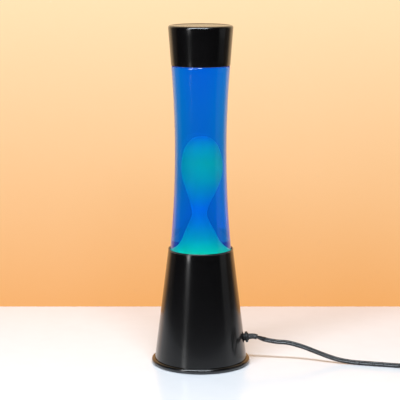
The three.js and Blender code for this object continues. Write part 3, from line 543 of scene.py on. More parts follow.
def backdrop_look():
    """A painted glow, warm behind the lamp: paler towards its top, fading out to both sides, and clear from
    its back.
    """
    look = varied("backdrop", (0.10, 0.08, 0.06), 0.9, 40, tone=0.01, spread=0.05, bump=0.0)
    off_centre = look.node("Math", {0: look.axis("X")}, operation="ABSOLUTE").outputs["Value"]
    # painted light: the glow is darker orange low down and paler higher up
    look.surface({
        "Emission Color": look.blended(look.ranged(look.axis("Z"), 0, 1, 0, 0.42), (0.80, 0.33, 0.06),
                                       (0.94, 0.67, 0.37)),
        "Emission Strength": look.ranged(off_centre, 1.0, 0.04, 0.3, 0.48),
    })
    mix = look.node("MixShader", {
        0: look.node("NewGeometry").outputs["Backfacing"], 1: look.shader.outputs["BSDF"],
        2: look.node("BsdfTransparent").outputs["BSDF"],
    })
    look.output("Surface", mix.outputs["Shader"])
    return look


def make_stage():
    """A pale table with a painted pool of light, and a warm backdrop behind it with a painted glow, which is
    only there from its front.
    """
    half, back, top = STAGE_HALF, BACKDROP_Y, BACKDROP_HEIGHT
    for name, corners, look in (
        ("table", [(-half, -half, 0), (half, -half, 0), (half, half, 0), (-half, half, 0)], table_look()),
        ("backdrop", [(-half, back, 0), (half, back, 0), (half, back, top), (-half, back, top)],
         backdrop_look()),
    ):
        mesh = bpy.data.meshes.new(name)
        mesh.from_pydata(corners, [], [(0, 1, 2, 3)])
        mesh.materials.append(look.material)
        made = bpy.data.objects.new(name, mesh)
        scene.collection.objects.link(made)


make_camera()
make_lights()
make_stage()

# ---------------------------------------------------------------- the lead

LOBE_RADIUS = CORD_THICKNESS / 2
LOBE_OFFSET = (CORD_WIDTH - CORD_THICKNESS) / 2
FLAT = math.radians(90)
FLANGE = (0.0536, 0, 0.0293)
LEAVES_FLAT = (0.006, 0.024)     # where the lead from the lamp turns from flat to on edge


def twin_section(steps=20):
    """A flat two-core lead's section, upright: two round lobes with a groove between them."""
    points = []
    for i in range(steps):
        a = TURN * i / steps
        s, c = math.sin(a), math.cos(a)
        reach = LOBE_OFFSET * abs(s) + math.sqrt(LOBE_RADIUS ** 2 - (LOBE_OFFSET * c) ** 2)
        points.append((reach * c, reach * s))
    return points


def coil_turns():
    """The lead's turns: a flat spiral inwards on the table, and one outwards on top of it."""
    rest, layer = CORD_WIDTH / 2 + 0.0001, CORD_WIDTH + 0.00005
    hump, hump_angle = 0.00095, 0.35     # how the turns rise where they pass over the strap
    span = COIL_PITCH * COIL_LAYER_TURNS
    points = []
    for turn in np.arange(0.04, 2 * COIL_LAYER_TURNS - 0.02, 1 / 44):
        inward = abs(turn - COIL_LAYER_TURNS) / COIL_LAYER_TURNS
        radius = COIL_RADIUS + (inward - 0.5) * span
        angle = TURN * turn - TURN / 4
        raised = ease(turn, COIL_LAYER_TURNS - 0.2, COIL_LAYER_TURNS + 0.2)
        off = math.remainder(angle - TIE_ANGLE, TURN)
        over_tie = hump * math.exp(-(off / hump_angle) ** 2)
        points.append((
            COIL_MIDDLE[0] + radius * math.cos(angle), COIL_MIDDLE[1] + radius * math.sin(angle),
            rest + over_tie + raised * layer,
        ))
    return points


def lead_tilt(path, untwist, twist=None):
    """Flat at the start, on edge after untwist, and flat again after twist, measured from the far end."""
    whole = float(distances_along(path)[-1])

    def tilt(s):
        again = ease(s, whole - twist[0], whole - twist[1]) if twist else 0
        return FLAT * (1 - ease(s, *untwist)) + FLAT * again
    return tilt


INTO_SWITCH = (0.2580, -0.0320, 0.0070)
OUT_OF_SWITCH = (0.3146, -0.0320, 0.0070)
INTO_PLUG = (0.3475, 0.0585, 0.0068)
near_path = smooth_path([FLANGE, *TO_SWITCH, INTO_SWITCH], 0.0022)
far_path = smooth_path([OUT_OF_SWITCH, *TO_COIL, *coil_turns(), *TO_PLUG, INTO_PLUG], 0.0024)
near_tilt = lead_tilt(near_path, LEAVES_FLAT, (0.034, 0.008))
far_tilt = lead_tilt(far_path, (0.004, 0.024), (0.05, 0.012))
lead_near = piece("lead_to_switch", swept(near_path, twin_section(), near_tilt), "base", "cord_sheath",
                  "cord_to_switch", sharp=60)
lead_far = piece("lead_to_plug", swept(far_path, twin_section(), far_tilt), "base", "cord_sheath",
                 "cord_to_coil", "cord_coil", "cord_to_plug", sharp=60)

# ---------------------------------------------------------------- bottle, liquid and wax

BOTTLE_BASE, BOTTLE_TOP, _ = extent("glass_bottle")
BOTTLE = dict(wall=0.0023, floor=0.004, corner=0.006, waist=0.0295, waist_height=0.137, bow=1.18,
              straight=0.0233, neck_height=0.027, ledge_round=0.0014, shoulder=0.015, drop=0.003,
              neck=0.0124, bore=0.0084, lip=0.0133, lip_height=0.0045, lip_round=0.0017, lip_under=0.001,
              punt=0.0012)
LEDGE = BOTTLE_TOP - BOTTLE["neck_height"]
LIQUID_LEVEL = extent("blue_liquid")[1]
CONTACT = 0.0002         # how far the liquid and the wax are sunk into the glass, so no air shows
MENISCUS = [(0, 0), (0.0006, 0.0006), (0.0022, 0.001)]     # in from the glass, and down
POOL_TOP = BOTTLE_BASE + 0.012
WAX_TOP = extent("wax_column")[1]
WAX_OUTLINE = [(0.0290, 0.0155), (0.0190, 0.0270), (0.0126, 0.0440), (0.0082, 0.0560),
               (0.0064, 0.0630), (0.0077, 0.0740), (0.0132, 0.0920), (0.0170, 0.1080),
               (0.0172, 0.1260), (0.0132, 0.1440), (0.0065, 0.1525)]


def glass_radius(z):
    """The bottle's outer radius at a height: straight inside the base, and a long curve above it."""
    away = max(z - BOTTLE_BASE, BOTTLE["straight"]) - BOTTLE["waist_height"]
    return BOTTLE["waist"] + away ** 2 / (2 * BOTTLE["bow"])


def side_wall(low, high, inset, steps=44):
    return [(glass_radius(z) - inset, z) for z in np.linspace(low, high, steps)]


def cavity():
    """The inside of the bottle, from the middle of its floor to its mouth."""
    b = BOTTLE
    floor, round_ = BOTTLE_BASE + b["floor"], b["corner"] - b["wall"] / 2
    low, high = floor + round_, LEDGE - b["drop"]
    return [
        (0, floor), *arc(glass_radius(low) - b["wall"] - round_, low, round_, -90, 0, 8),
        *side_wall(low, high, b["wall"]),
        *arc(b["bore"], high, glass_radius(high) - b["wall"] - b["bore"], 8, 84, 12, b["shoulder"]),
        (b["bore"], LEDGE + b["shoulder"]), (b["bore"], BOTTLE_TOP),
    ]


def glass_bottle():
    """The bottle's outside, with its punt, ledge, neck and lip, joined to its cavity."""
    b = BOTTLE
    inset, lip_start = glass_radius(LEDGE - b["ledge_round"]) - b["ledge_round"], BOTTLE_TOP - b["lip_height"]
    foot, under = glass_radius(BOTTLE_BASE) - b["corner"], b["lip_under"]
    outside = [
        *[(share * foot, BOTTLE_BASE + rise * b["punt"]) for share, rise in ((0, 1), (0.6, 0.7), (0.9, 0.1))],
        *arc(foot, BOTTLE_BASE + b["corner"], b["corner"], -90, 0, 10),
        *side_wall(BOTTLE_BASE + b["corner"], LEDGE - b["ledge_round"], 0),
        *arc(inset, LEDGE - b["ledge_round"], b["ledge_round"], 15, 90, 6),
        *arc(b["neck"], LEDGE, inset - b["neck"], 8, 90, 14, b["shoulder"]),
        (b["neck"], lip_start - under), *arc(b["lip"] - under, lip_start + under, under, -90, 0, 4),
        *arc(b["lip"] - b["lip_round"], BOTTLE_TOP - b["lip_round"], b["lip_round"], 0, 90, 6),
    ]
    piece("bottle_glass", turned(outside + cavity()[::-1], 160), "bottle", "clear_glass", "glass_bottle")


def wax_profile(inset=0.0):
    """The wax from its pool's edge to its top, moved inwards by a distance."""
    edge = glass_radius(POOL_TOP) - BOTTLE["wall"] + CONTACT
    points = [(edge, 0, POOL_TOP)] + [(r, 0, BOTTLE_BASE + h) for r, h in WAX_OUTLINE] + [(0, 0, WAX_TOP)]
    line = smooth_path(points, 0.0022)
    along = np.gradient(np.array(line), axis=0)
    moved_in = []
    for (r, _, z), (dr, _, dz) in zip(line, along):
        length = math.hypot(dr, dz)
        moved_in.append((max(r - inset * dz / length, 0), z + inset * dr / length))
    moved_in[-1] = (0, WAX_TOP - inset)
    return moved_in


def wax_lean(x, y, z, r):
    """Wax is never quite round or upright: the neck leans one way and the blob the other."""
    h = z - POOL_TOP
    lean = 0.0012 * ease(h, 0.05, 0.11) - 0.0011 * ease(h, 0.01, 0.045) * (1 - ease(h, 0.05, 0.09))
    spin = math.atan2(y, x)
    waves = 0.018 * math.sin(2 * spin + 40 * z) + 0.012 * math.sin(3 * spin - 55 * z)
    lump = 1 + ease(h, 0.004, 0.03) * waves
    return x * lump + lean, y * lump, z


def wax_hollow(x, y, z, r):
    """The liquid's inner side follows the wax, and its outer side follows the glass."""
    wall = glass_radius(z) - BOTTLE["wall"]
    return wax_lean(x, y, z, r) if r < 0.75 * wall and z < WAX_TOP else (x, y, z)


def make_filling():
    """The wax with its pool on the floor, and the liquid round it up to a curved surface."""
    inside = [(r + CONTACT if r else 0, z) for r, z in cavity()]
    floor = [(0, BOTTLE_BASE + BOTTLE["floor"] - CONTACT)]
    below = floor + [(r, z - CONTACT) for r, z in inside[1:] if z < POOL_TOP]
    LOOKS["wax"] = wax_look(extent("base_shell")[1], WAX_TOP).material
    piece("wax", turned(below + wax_profile(), 112, shape=wax_lean), "bottle", "wax", "wax_column", sharp=80)
    wall = [(r, z) for r, z in inside if POOL_TOP < z < LIQUID_LEVEL - 0.0008]
    surface = [(wall[-1][0] - away, LIQUID_LEVEL - drop) for away, drop in MENISCUS]
    profile = wax_profile(inset=0.0004)[::-1] + wall + surface + [(0, surface[-1][1])]
    piece("liquid", turned(profile, 128, shape=wax_hollow), "bottle", "blue_liquid", "blue_liquid", sharp=80)


def heating_ring():
    """A wound spring of steel wire that lies in a ring on the bottle's floor."""
    low, high, outer = extent("heating_coil")
    wire, turns, steps = 0.00045, 54, 10
    coil = (high - low) / 2 - wire
    ring, middle = outer - coil - wire, (low + high) / 2
    path = []
    for i in range(turns * steps):
        a, b = TURN * i / steps, TURN * i / (turns * steps)
        r = ring + coil * math.cos(a)
        path.append((r * math.cos(b), r * math.sin(b), middle + coil * math.sin(a)))
    section = [(wire * math.cos(TURN * i / 5), wire * math.sin(TURN * i / 5)) for i in range(5)]
    piece("heating_spring", swept(path, section), "bottle", "steel", "heating_coil", sharp=80)


def crown():
    """The crimped crown cap, its skirt in 21 flutes, over its liner."""
    low, high, widest = extent("crown_cap")
    mouth, thick, round_ = 0.0136, 0.0007, 0.0012
    skirt, flare, roof = low + 0.0001, widest - mouth - thick, high - thick

    def fluted(x, y, z, r):
        out = 0.0006 * (1 - ease(z, skirt + 0.0002, skirt + 0.0042)) * math.cos(21 * math.atan2(y, x))
        return pushed(x, y, z, r, out) if r > 0.01 else (x, y, z)

    steel = [
        (0, high), *arc(mouth + thick - round_, high - round_, round_, 90, 0, 6),
        (mouth + thick + 0.35 * flare, skirt + 0.0022), (mouth + thick + flare - 0.0006, skirt),
        (mouth + flare - 0.0006, skirt), (mouth + 0.35 * flare, skirt + 0.0022),
        (mouth, roof - round_), (mouth - round_, roof), (0, roof),
    ]
    piece("crown_cap_steel", turned(steel, 168, shape=fluted), "bottle", "steel", "crown_cap")
    low, high, rim = extent("crown_liner")
    piece("crown_cap_liner", turned([
        (0, low), (rim - 0.0002, low), (rim, low + 0.0002), (rim, high - 0.0001), (rim - 0.0001, high),
        (rim - 0.002, high - 0.0001), (0, high - 0.0001),
    ], 64), "bottle", "ceramic", "crown_liner", look="liner")


def top_cap():
    """The spun metal cap: rounded top edge, shallow dish, and a small rolled edge at the bottom."""
    low, top, wide = extent("top_cap")
    outer = glass_radius(LEDGE - BOTTLE["ledge_round"]) + 0.0003
    edge, wall, roof, dish, inset, roll = 0.0028, 0.001, 0.0012, 0.0006, 0.0016, 0.0005
    flat, side = wide - edge - inset, top - edge
    piece("cap_shell", turned([
        (0, top - dish), (flat - 0.0008, top - dish), (flat, top - 0.8 * dish),
        (flat + dish, top - 0.15 * dish), (flat + 1.6 * dish, top), *arc(wide - edge, side, edge, 90, 0, 14),
        *[(wide + (outer - wide) * t, side + (low + roll - top + edge) * t) for t in (0.3, 0.6, 0.85, 1)],
        *arc(outer - roll, low + roll, roll, 0, -180, 6),
        (outer - wall, low + 0.002), *arc(wide - edge, side, edge - wall, 0, 60, 6),
        (flat, top - dish - roof), (0, top - dish - roof),
    ], 160), "cap", "black_paint", "top_cap")


glass_bottle()
make_filling()
heating_ring()
crown()
top_cap()

# ---------------------------------------------------------------- base shell and seat

SHELL_TOP = extent("base_shell")[1]
SHELL = dict(bottom=0.0539, wall=0.001, rim_bead=0.0009, rim_inset=0.0005, lip_bead=0.0028,
             lip_height=0.0032, lip_offset=0.0007, bottle_gap=0.0012)
RIM_RADIUS = glass_radius(SHELL_TOP) + SHELL["bottle_gap"] + SHELL["wall"]
LUG = dict(count=3, ring=0.0457, width=0.010, length=0.009, thickness=0.002, height=0.0047, overlap=0.0005)
LUG_PLACES = around(LUG["count"], LUG["ring"], TURN / 12)
SCREW_HOLE = 0.0019
LEAD_HOLE = 0.0046


def cone_radius(z):
    return SHELL["bottom"] + (RIM_RADIUS - SHELL["bottom"]) * z / SHELL_TOP


EXIT_HEIGHT = 0.0289
EXIT = (cone_radius(EXIT_HEIGHT), 0.0, EXIT_HEIGHT)
WALL_LEAN = math.atan((SHELL["bottom"] - RIM_RADIUS) / SHELL_TOP)
ALONG_EXIT = about("Y", 90 - math.degrees(WALL_LEAN))


def bead_angles(z, centre, bead):
    """Where a rolled edge meets the wall's outside and inside, in degrees from the radial direction."""
    return [math.degrees(math.acos((cone_radius(z) - deep - centre) / bead)) for deep in (0, SHELL["wall"])]


def base_shell():
    """The spun cone with its rolled rim and lip, the hole for the lead, and three welded lugs."""
    s = SHELL
    lip_centre, rim_centre = cone_radius(s["lip_height"]) + s["lip_offset"], RIM_RADIUS - s["rim_inset"]
    lip_top, rim_height = s["lip_height"] + s["lip_bead"], SHELL_TOP - s["rim_bead"]
    lip_out, lip_in = bead_angles(lip_top, lip_centre, s["lip_bead"])
    rim_out, rim_in = bead_angles(rim_height, rim_centre, s["rim_bead"])
    heights = np.linspace(lip_top + 0.002, rim_height - 0.002, 14)
    profile = [
        *arc(lip_centre, s["lip_height"], s["lip_bead"], lip_in, 360 + lip_out, 30),
        *[(cone_radius(z), z) for z in heights],
        *arc(rim_centre, rim_height, s["rim_bead"], -rim_out, 360 - rim_in, 18),
        *[(cone_radius(z) - s["wall"], z) for z in heights[::-1]],
    ]
    lead_hole = moved(rod(LEAD_HOLE, 0.012), *EXIT, ALONG_EXIT)
    cone = cut(mesh_of("cone", turned(profile, 160, closed=True)), lead_hole)
    piece("shell_cone", cone, "base", "black_paint", "base_shell")
    top = LUG["height"] + LUG["thickness"]
    middle = cone_radius(top) - s["wall"] + LUG["overlap"] - LUG["length"] / 2
    for i, (x, y, angle) in enumerate(LUG_PLACES):
        tab = moved(bar(LUG["length"], LUG["width"], LUG["thickness"]), middle)
        tab = moved(tab, 0, 0, LUG["height"] + LUG["thickness"] / 2, about("Z", math.degrees(angle)))
        drilled = cut(mesh_of("lug", tab), hole(SCREW_HOLE, x, y, LUG["height"], 0.01))
        piece(f"shell_lug_{i + 1}", drilled, "base", "black_paint")


def seat_ring():
    """The pressed ring that the bottle stands on, with a rolled hole and a skirt against the wall."""
    end, top, _ = extent("seat_ring")
    opening, thick, skirt, gap, groove = 0.026, 0.0015, 0.0012, 0.0003, 0.0004
    under = top - thick

    def wall(z):
        return cone_radius(z) - SHELL["wall"] - gap

    piece("bottle_seat", turned([
        *arc(opening + thick / 2, top - thick / 2, thick / 2, 270, 90, 8),
        (opening + 0.004, top), (opening + 0.0046, top - groove), (opening + 0.006, top - groove),
        (opening + 0.0066, top), (wall(top) - 0.0008, top), (wall(top - 0.0008), top - 0.0008),
        (wall(end), end), (wall(end) - skirt, end), (wall(under) - skirt, under),
    ], 128, closed=True), "base", "steel", "seat_ring")


base_shell()
seat_ring()

# ---------------------------------------------------------------- strain relief and the inside wiring

GROMMET = dict(flange=0.0063, thickness=0.003, stand_off=0.0015, neck=0.0043, keeper=0.0056,
               keeper_length=0.0023, set_back=0.0015, tail=0.004, tail_radius=0.003, edge=0.0008)
SLEEVE_LENGTH = 0.0125
PLATE_LOW = extent("bottom_plate")[0]
PLATE_TOP = 0.0044       # the top of the flat plate, below its posts
LEAD_LOW = PLATE_TOP + 0.0028
CLAMP_Y = -0.031
CLAMP_SCREW = 0.008      # how far each clamp screw is from the clamp's middle
WIRE_RADIUS = 0.0011
WIRE_SHIFT = 0.0015
WIRE_TOP = 0.0266


def round_wire(points, radius, sides=10, spacing=0.0008):
    """A round wire along a smooth curve, with its section carried along without a twist."""
    path = np.array(smooth_path(points, spacing))
    along = np.gradient(path, axis=0)
    side = np.cross(along[0], (0.3, 0.5, 0.81))
    rings = []
    for p, t in zip(path, along):
        t = t / np.linalg.norm(t)
        side = side - t * np.dot(side, t)
        side = side / np.linalg.norm(side)
        up = np.cross(side, t)
        turns = np.arange(sides) / sides * TURN
        rings.append([tuple(p + radius * (math.cos(a) * side + math.sin(a) * up)) for a in turns])
    return lofted(rings)


def strain_relief():
    """A rubber bush through the wall, with a keeper inside and a tapered sleeve along the lead."""
    g = GROMMET
    keeper_end = -SHELL["wall"] - g["set_back"]
    keeper_start = keeper_end - g["keeper_length"]
    tail, end, edge = keeper_start - g["tail"], g["stand_off"] + g["thickness"], g["edge"]
    bush = turned([
        (0, tail), (g["tail_radius"] - 0.0004, tail), (g["tail_radius"], tail + 0.0004),
        (g["neck"], keeper_start),
        *arc(g["keeper"] - edge, keeper_start + edge, edge, -60, 0, 5),
        *arc(g["keeper"] - edge / 2, keeper_end - edge / 2, edge / 2, 0, 90, 4), (g["neck"], keeper_end),
        (g["neck"], g["stand_off"]), *arc(g["flange"] - edge, g["stand_off"] + edge, edge, -90, 0, 6),
        *arc(g["flange"] - edge, end - edge, edge, 0, 90, 6), (g["neck"] + 0.0003, end),
        *arc(g["neck"] - 0.0003, end + 0.0005, 0.0005, 0, 90, 4), (0, end + 0.001),
    ], 72)
    oval = [(0.0019 * math.cos(a), 0.0035 * math.sin(a)) for a in np.arange(28) / 28 * TURN]
    rib_depth, rib_pitch, narrowing = 0.02, 0.0022, 0.13

    def taper(s):
        ribs = rib_depth * (0.5 - 0.5 * math.cos(TURN * s / rib_pitch)) * (1 - ease(s, 0.0085, 0.0105))
        return 1 - narrowing * ease(s, 0.001, SLEEVE_LENGTH) - ribs

    fine = smooth_path([FLANGE, *TO_SWITCH[:6]], 0.0004)
    route = [p for p, s in zip(fine, distances_along(fine)) if s < SLEEVE_LENGTH]
    sleeve = swept(route, oval, lambda s: FLAT * (1 - ease(s, *LEAVES_FLAT)) - FLAT, taper)
    piece("strain_relief", together(moved(bush, *EXIT, ALONG_EXIT), sleeve), "base", "rubber", "cord_grommet",
          sharp=40)


def inside_lead():
    """The lead from the bush to the clamp on the floor plate."""
    route = [(EXIT[0] - s * math.cos(WALL_LEAN), 0, EXIT[2] - s * math.sin(WALL_LEAN))
             for s in (0.0080, 0.0130)]
    route += [(0.0285, -0.010, 0.022), (0.020, -0.022, 0.0125), (0.010, -0.0295, LEAD_LOW + 0.0006),
              (0.004, CLAMP_Y, LEAD_LOW), (-0.0055, CLAMP_Y, LEAD_LOW)]
    path = smooth_path(route, 0.0015)
    lead = swept(path, twin_section(), lead_tilt(path, (0.004, 0.03)))
    piece("lead_inside", lead, "base", "cord_sheath", "inner_cord", sharp=60)


def inside_cores():
    """The lead's two cores, side by side from the clamp and up through the tube to the lampholder."""
    middle = [
        (-0.0040, CLAMP_Y, LEAD_LOW, 0, -1), (-0.0068, CLAMP_Y, LEAD_LOW, 0, -1),
        (-0.0110, -0.0300, PLATE_TOP + 0.0018, -0.3, -1), (-0.0170, -0.0240, PLATE_TOP + 0.0014, -1, -0.2),
        (-0.0140, -0.0120, PLATE_TOP + 0.0014, -1, 0.4), (-0.0040, -0.0025, PLATE_TOP + 0.0016, -0.7, 0.7),
        (-0.0004, -0.0003, PLATE_TOP + 0.0038, -0.9, 0.4), (0, 0, PLATE_TOP + 0.0069, -1, 0),
        (0, 0, WIRE_TOP - 0.004, -1, 0), (0, 0, WIRE_TOP, -1, 0),
    ]
    for name, side, slot in (("live_wire", 1, "live_core"), ("neutral_wire", -1, "neutral_core")):
        shift = WIRE_SHIFT * side
        line = [(x + shift * dx, y + shift * dy, z) for x, y, z, dx, dy in middle]
        piece(f"{name}_sleeve", round_wire(line, WIRE_RADIUS, 14), "base", slot, name, sharp=60)


def cord_clamp():
    """A bar with rounded ends over the lead, and the pad that bears on it."""
    low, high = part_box("cord_clamp")
    length, width = high[1] - low[1], high[0] - low[0]
    rows = [(0.0003, low[2]), (0, low[2] + 0.0003), (0, high[2] - 0.0009), (0.0003, high[2] - 0.0003),
            (0.0009, high[2])]
    bridge = lofted([at_height(rounded_rectangle(width - 2 * i, length - 2 * i, 0.0033 - i), z)
                     for i, z in rows])
    bridge = moved(bridge, 0, CLAMP_Y)
    saddle = moved(bar(width - 0.0006, 0.0062, 0.0012, 0.0003), 0, CLAMP_Y, low[2])
    holes = [hole(SCREW_HOLE, 0, CLAMP_Y + side * CLAMP_SCREW, low[2]) for side in SIDES]
    piece("clamp_bar", cut(mesh_of("clamp", bridge), *holes), "base", "black_plastic", "cord_clamp")
    piece("clamp_saddle", saddle, "base", "black_plastic")


# ---------------------------------------------------------------- bottom plate, feet and screws

SCREW = dict(shank=0.0016, head=0.0031, height=0.002, pitch=0.0011)
BRACKET_X = 0.0225       # how far each of the lampholder bracket's screws is from the axis
POSTS = {"bracket": 0.0036, "clamp": 0.0057}     # the posts' heights above the plate
FEET_RING = 0.0419


def spiral(pitch, swing, low, high, fade, least=0.0):
    """A thread for turned(): it moves the surface outwards, or inwards where swing is negative."""
    def shape(x, y, z, r):
        near = min(max(min(z - low, high - z) / fade, 0), 1)
        if near == 0 or r <= least:
            return x, y, z
        wave = math.cos(TURN * z / pitch - math.atan2(y, x))
        return pushed(x, y, z, r, near * swing * (1 + math.copysign(1, swing) * wave) / 2)
    return shape


def rows_of(low, high, step):
    count = math.ceil((high - low) / step)
    return [low + (high - low) * i / count for i in range(count + 1)]


def pan_screw(length, head=SCREW["head"], height=SCREW["height"], shank=SCREW["shank"]):
    """A pan-head screw that points down, its head's underside at the origin, with a cross recess."""
    root = shank - 0.00025
    body = [(0, -length), (0.4 * root, -length), (root, 0.001 - length)]
    body += [(root, z) for z in rows_of(0.001 - length, -0.0006, SCREW["pitch"] / 6)]
    body += [(root, -0.0004), (head - 0.0001, -0.0004), (head, -0.0002), (head, 0.45 * height)]
    body += [(head * math.cos(a), height * (0.45 + 0.55 * math.sin(a))) for a in np.linspace(0.2, 1.45, 7)]
    body += [(0, height)]
    shape = spiral(SCREW["pitch"], 0.00032, 0.0006 - length, -0.0005, 0.0008, least=0.5 * root)
    solid = mesh_of("screw", turned(body, 28, shape=shape))
    slot = bar(1.15 * head, 0.0006, 1.2 * height, 0.0001)
    return cut(solid, *[moved(slot, 0, 0, height, about("Z", 45 + a)) for a in (0, 90)])


def set_screw(name, node, number, mesh, place, *turns):
    """A copy of a screw, turned and moved to its place."""
    copy = mesh.copy()
    whole = Matrix.Translation(place)
    for turn in turns:
        whole = whole @ turn
    copy.transform(whole)
    piece(f"{name}_{number}", copy, "base", "zinc", f"{node}_{number}")


def floor_plate():
    """The moulded plate with its grooves, vents and screw holes, and the posts and ribs on it."""
    low, radius, groove, edge = PLATE_LOW, extent("bottom_plate")[2], PLATE_LOW + 0.0006, 0.0007
    disc = turned([
        (0, low), (0.24 * radius, low), (0.25 * radius, groove), (0.28 * radius, groove),
        (0.29 * radius, low), (radius - 0.0060, low), (radius - 0.0056, groove),
        (radius - 0.0040, groove), (radius - 0.0036, low),
        *arc(radius - edge, low + edge, edge, -90, 0, 4),
        *arc(radius - edge, PLATE_TOP - edge, edge, 0, 90, 4), (0, PLATE_TOP),
    ], 128)
    pads = []
    for side in SIDES:
        pads += [(side * BRACKET_X, 0, POSTS["bracket"]), (0, CLAMP_Y + side * CLAMP_SCREW, POSTS["clamp"])]
    vents = [(x, y) for x, y, _ in around(8, radius - 0.0175, TURN / 16)
             if all(math.hypot(px - x, py - y) > 0.0086 for px, py, _ in pads)]
    holes = [hole(0.002, x, y, low, sides=24) for x, y in vents]
    holes += [hole(SCREW_HOLE, x, y, low, sides=24) for x, y, _ in LUG_PLACES]
    piece("floor_plate", cut(mesh_of("plate", disc), *holes), "base", "black_plastic", "bottom_plate")
    raised = []
    for x, y, height in pads:
        post = turned([
            (0, 0), (0.0058, 0), (0.0050, 0.0006), (0.0046, 0.0014), (0.0046, height - 0.0004),
            (0.0042, height), (SCREW_HOLE, height), (SCREW_HOLE, height - 0.002), (0, height - 0.002),
        ], 40)
        raised.append(moved(post, x, y, PLATE_TOP - 0.0001))
    rib, out = bar(0.018, 0.0014, 0.003, 0.0003), 0.0125
    for a in (TURN / 8, 3 * TURN / 8, -TURN / 8):
        turn = about("Z", math.degrees(a))
        raised.append(moved(rib, out * math.cos(a), out * math.sin(a), PLATE_TOP + 0.0012, turn))
    piece("plate_posts", together(*raised), "base", "black_plastic")


def feet():
    """Four round rubber feet in a ring under the plate."""
    profile = [
        (0, 0), (0.0040, 0), *arc(0.0044, 0.0006, 0.0006, -90, 0, 5), (0.0049, 0.0015),
        (0.0047, PLATE_LOW), (0.0034, PLATE_LOW), (0.0034, PLATE_LOW - 0.0001), (0, PLATE_LOW - 0.0001),
    ]
    for i, (x, y, _) in enumerate(around(4, FEET_RING, TURN / 8)):
        piece(f"foot_pad_{i + 1}", moved(turned(profile, 48), x, y), "base", "rubber", f"foot_{i + 1}")


def base_screws():
    """Screws up into the lugs, and down into the posts of the bracket and the clamp."""
    low_screw = pan_screw(0.0072, height=0.0013)
    for i, (x, y, _) in enumerate(LUG_PLACES):
        place = (x, y, PLATE_LOW - 0.0003)
        set_screw("lug_screw", "plate_screw", i + 1, low_screw, place, about("Z", 37 * i), UPSIDE_DOWN)
    short, long = pan_screw(0.0061), pan_screw(0.0097)
    for i, side in enumerate(SIDES):
        place = (side * BRACKET_X, 0, 0.0101)
        set_screw("strap_screw", "bracket_screw", i + 1, short, place, about("Z", 20 + 50 * i))
        place = (0, CLAMP_Y + side * CLAMP_SCREW, 0.0137)
        set_screw("bar_screw", "clamp_screw", i + 1, long, place, about("Z", 65 * i))


# ---------------------------------------------------------------- lampholder

HOLDER = dict(radius=0.0135, wall=0.0016, floor=0.0025, round=0.004, mouth=0.0052)
THREAD = dict(pitch=0.00282, depth=0.0008, crest=0.007, fit=0.0005)
SLEEVE_ROOT = THREAD["crest"] + THREAD["fit"]
CAP_ROOT = THREAD["crest"] - THREAD["depth"]
THREAD_STEP = THREAD["pitch"] / 12


def ribbon(points, thickness):
    """The outline in X and Z of a leaf of metal that follows smooth points."""
    line = np.array(smooth_path([(x, 0, z) for x, z in points], 0.0004))[:, [0, 2]]
    along = np.gradient(line, axis=0)
    along = along / np.linalg.norm(along, axis=1)[:, None]
    normal = np.stack([-along[:, 1], along[:, 0]], axis=1) * thickness / 2
    return [*map(tuple, line + normal), *map(tuple, (line - normal)[::-1])]


def strap_bracket():
    """A bent steel strap with two feet, and holes for its screws and the tube."""
    low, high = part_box("holder_bracket")
    foot, top, bottom, thick, leg = high[0], high[2], low[2], 0.0015, 0.0185
    inner = leg - thick
    half = [
        *arc(leg - 0.0017, top - 0.0017, 0.0017, 90, 0, 6),
        *arc(leg + 0.0008, bottom + thick + 0.0008, 0.0008, 180, 270, 5), (foot, bottom + thick),
        (foot, bottom),
        *arc(inner + 0.0023, bottom + 0.0023, 0.0023, 270, 180, 6),
        *arc(inner - 0.0003, top - thick - 0.0003, 0.0003, 0, 90, 3),
    ]
    sheet = strip(half + [(-x, z) for x, z in half[::-1]], high[1] - low[1])
    holes = [hole(SCREW_HOLE, side * BRACKET_X, 0, bottom, sides=32) for side in SIDES]
    holes.append(hole(HOLDER["mouth"], 0, 0, top, 0.006))
    piece("strap_bracket", cut(mesh_of("bracket", sheet), *holes), "base", "zinc", "holder_bracket")


def tube_and_nut():
    """The threaded tube that the cores pass through, and the hexagon nut on it."""
    low, high, outer = extent("holder_nipple")
    bore, root, chamfer = 0.0036, outer - 0.0003, 0.0002
    tube = [(root - 0.0004, low), *[(root, z) for z in rows_of(low + 0.0004, high - 0.0004, 0.0002)],
            (root - 0.0004, high), (bore + chamfer, high), (bore, high - chamfer), (bore, low + chamfer),
            (bore + chamfer, low)]
    shape = spiral(0.001, 0.0003, low, high, 0.0006, least=root - 0.0001)
    piece("threaded_tube", turned(tube, 48, closed=True, shape=shape), "base", "zinc", "holder_nipple")
    low, high, _ = extent("holder_nut")
    flat, corner, bore = 0.007, 0.0081, HOLDER["mouth"]

    def hexagon(x, y, z, r):
        if r < 0.006:
            return x, y, z
        turn = math.remainder(math.atan2(y, x), TURN / 6)
        keep = min(r, flat / math.cos(math.remainder(turn - TURN / 12, TURN / 6))) / r
        return x * keep, y * keep, z

    piece("lock_nut", turned([
        (bore, low), (flat, low), (corner, low + 0.0005), (corner, high - 0.0003), (flat + 0.0003, high),
        (bore, high),
    ], 120, closed=True, shape=hexagon), "base", "zinc", "holder_nut", sharp=20)


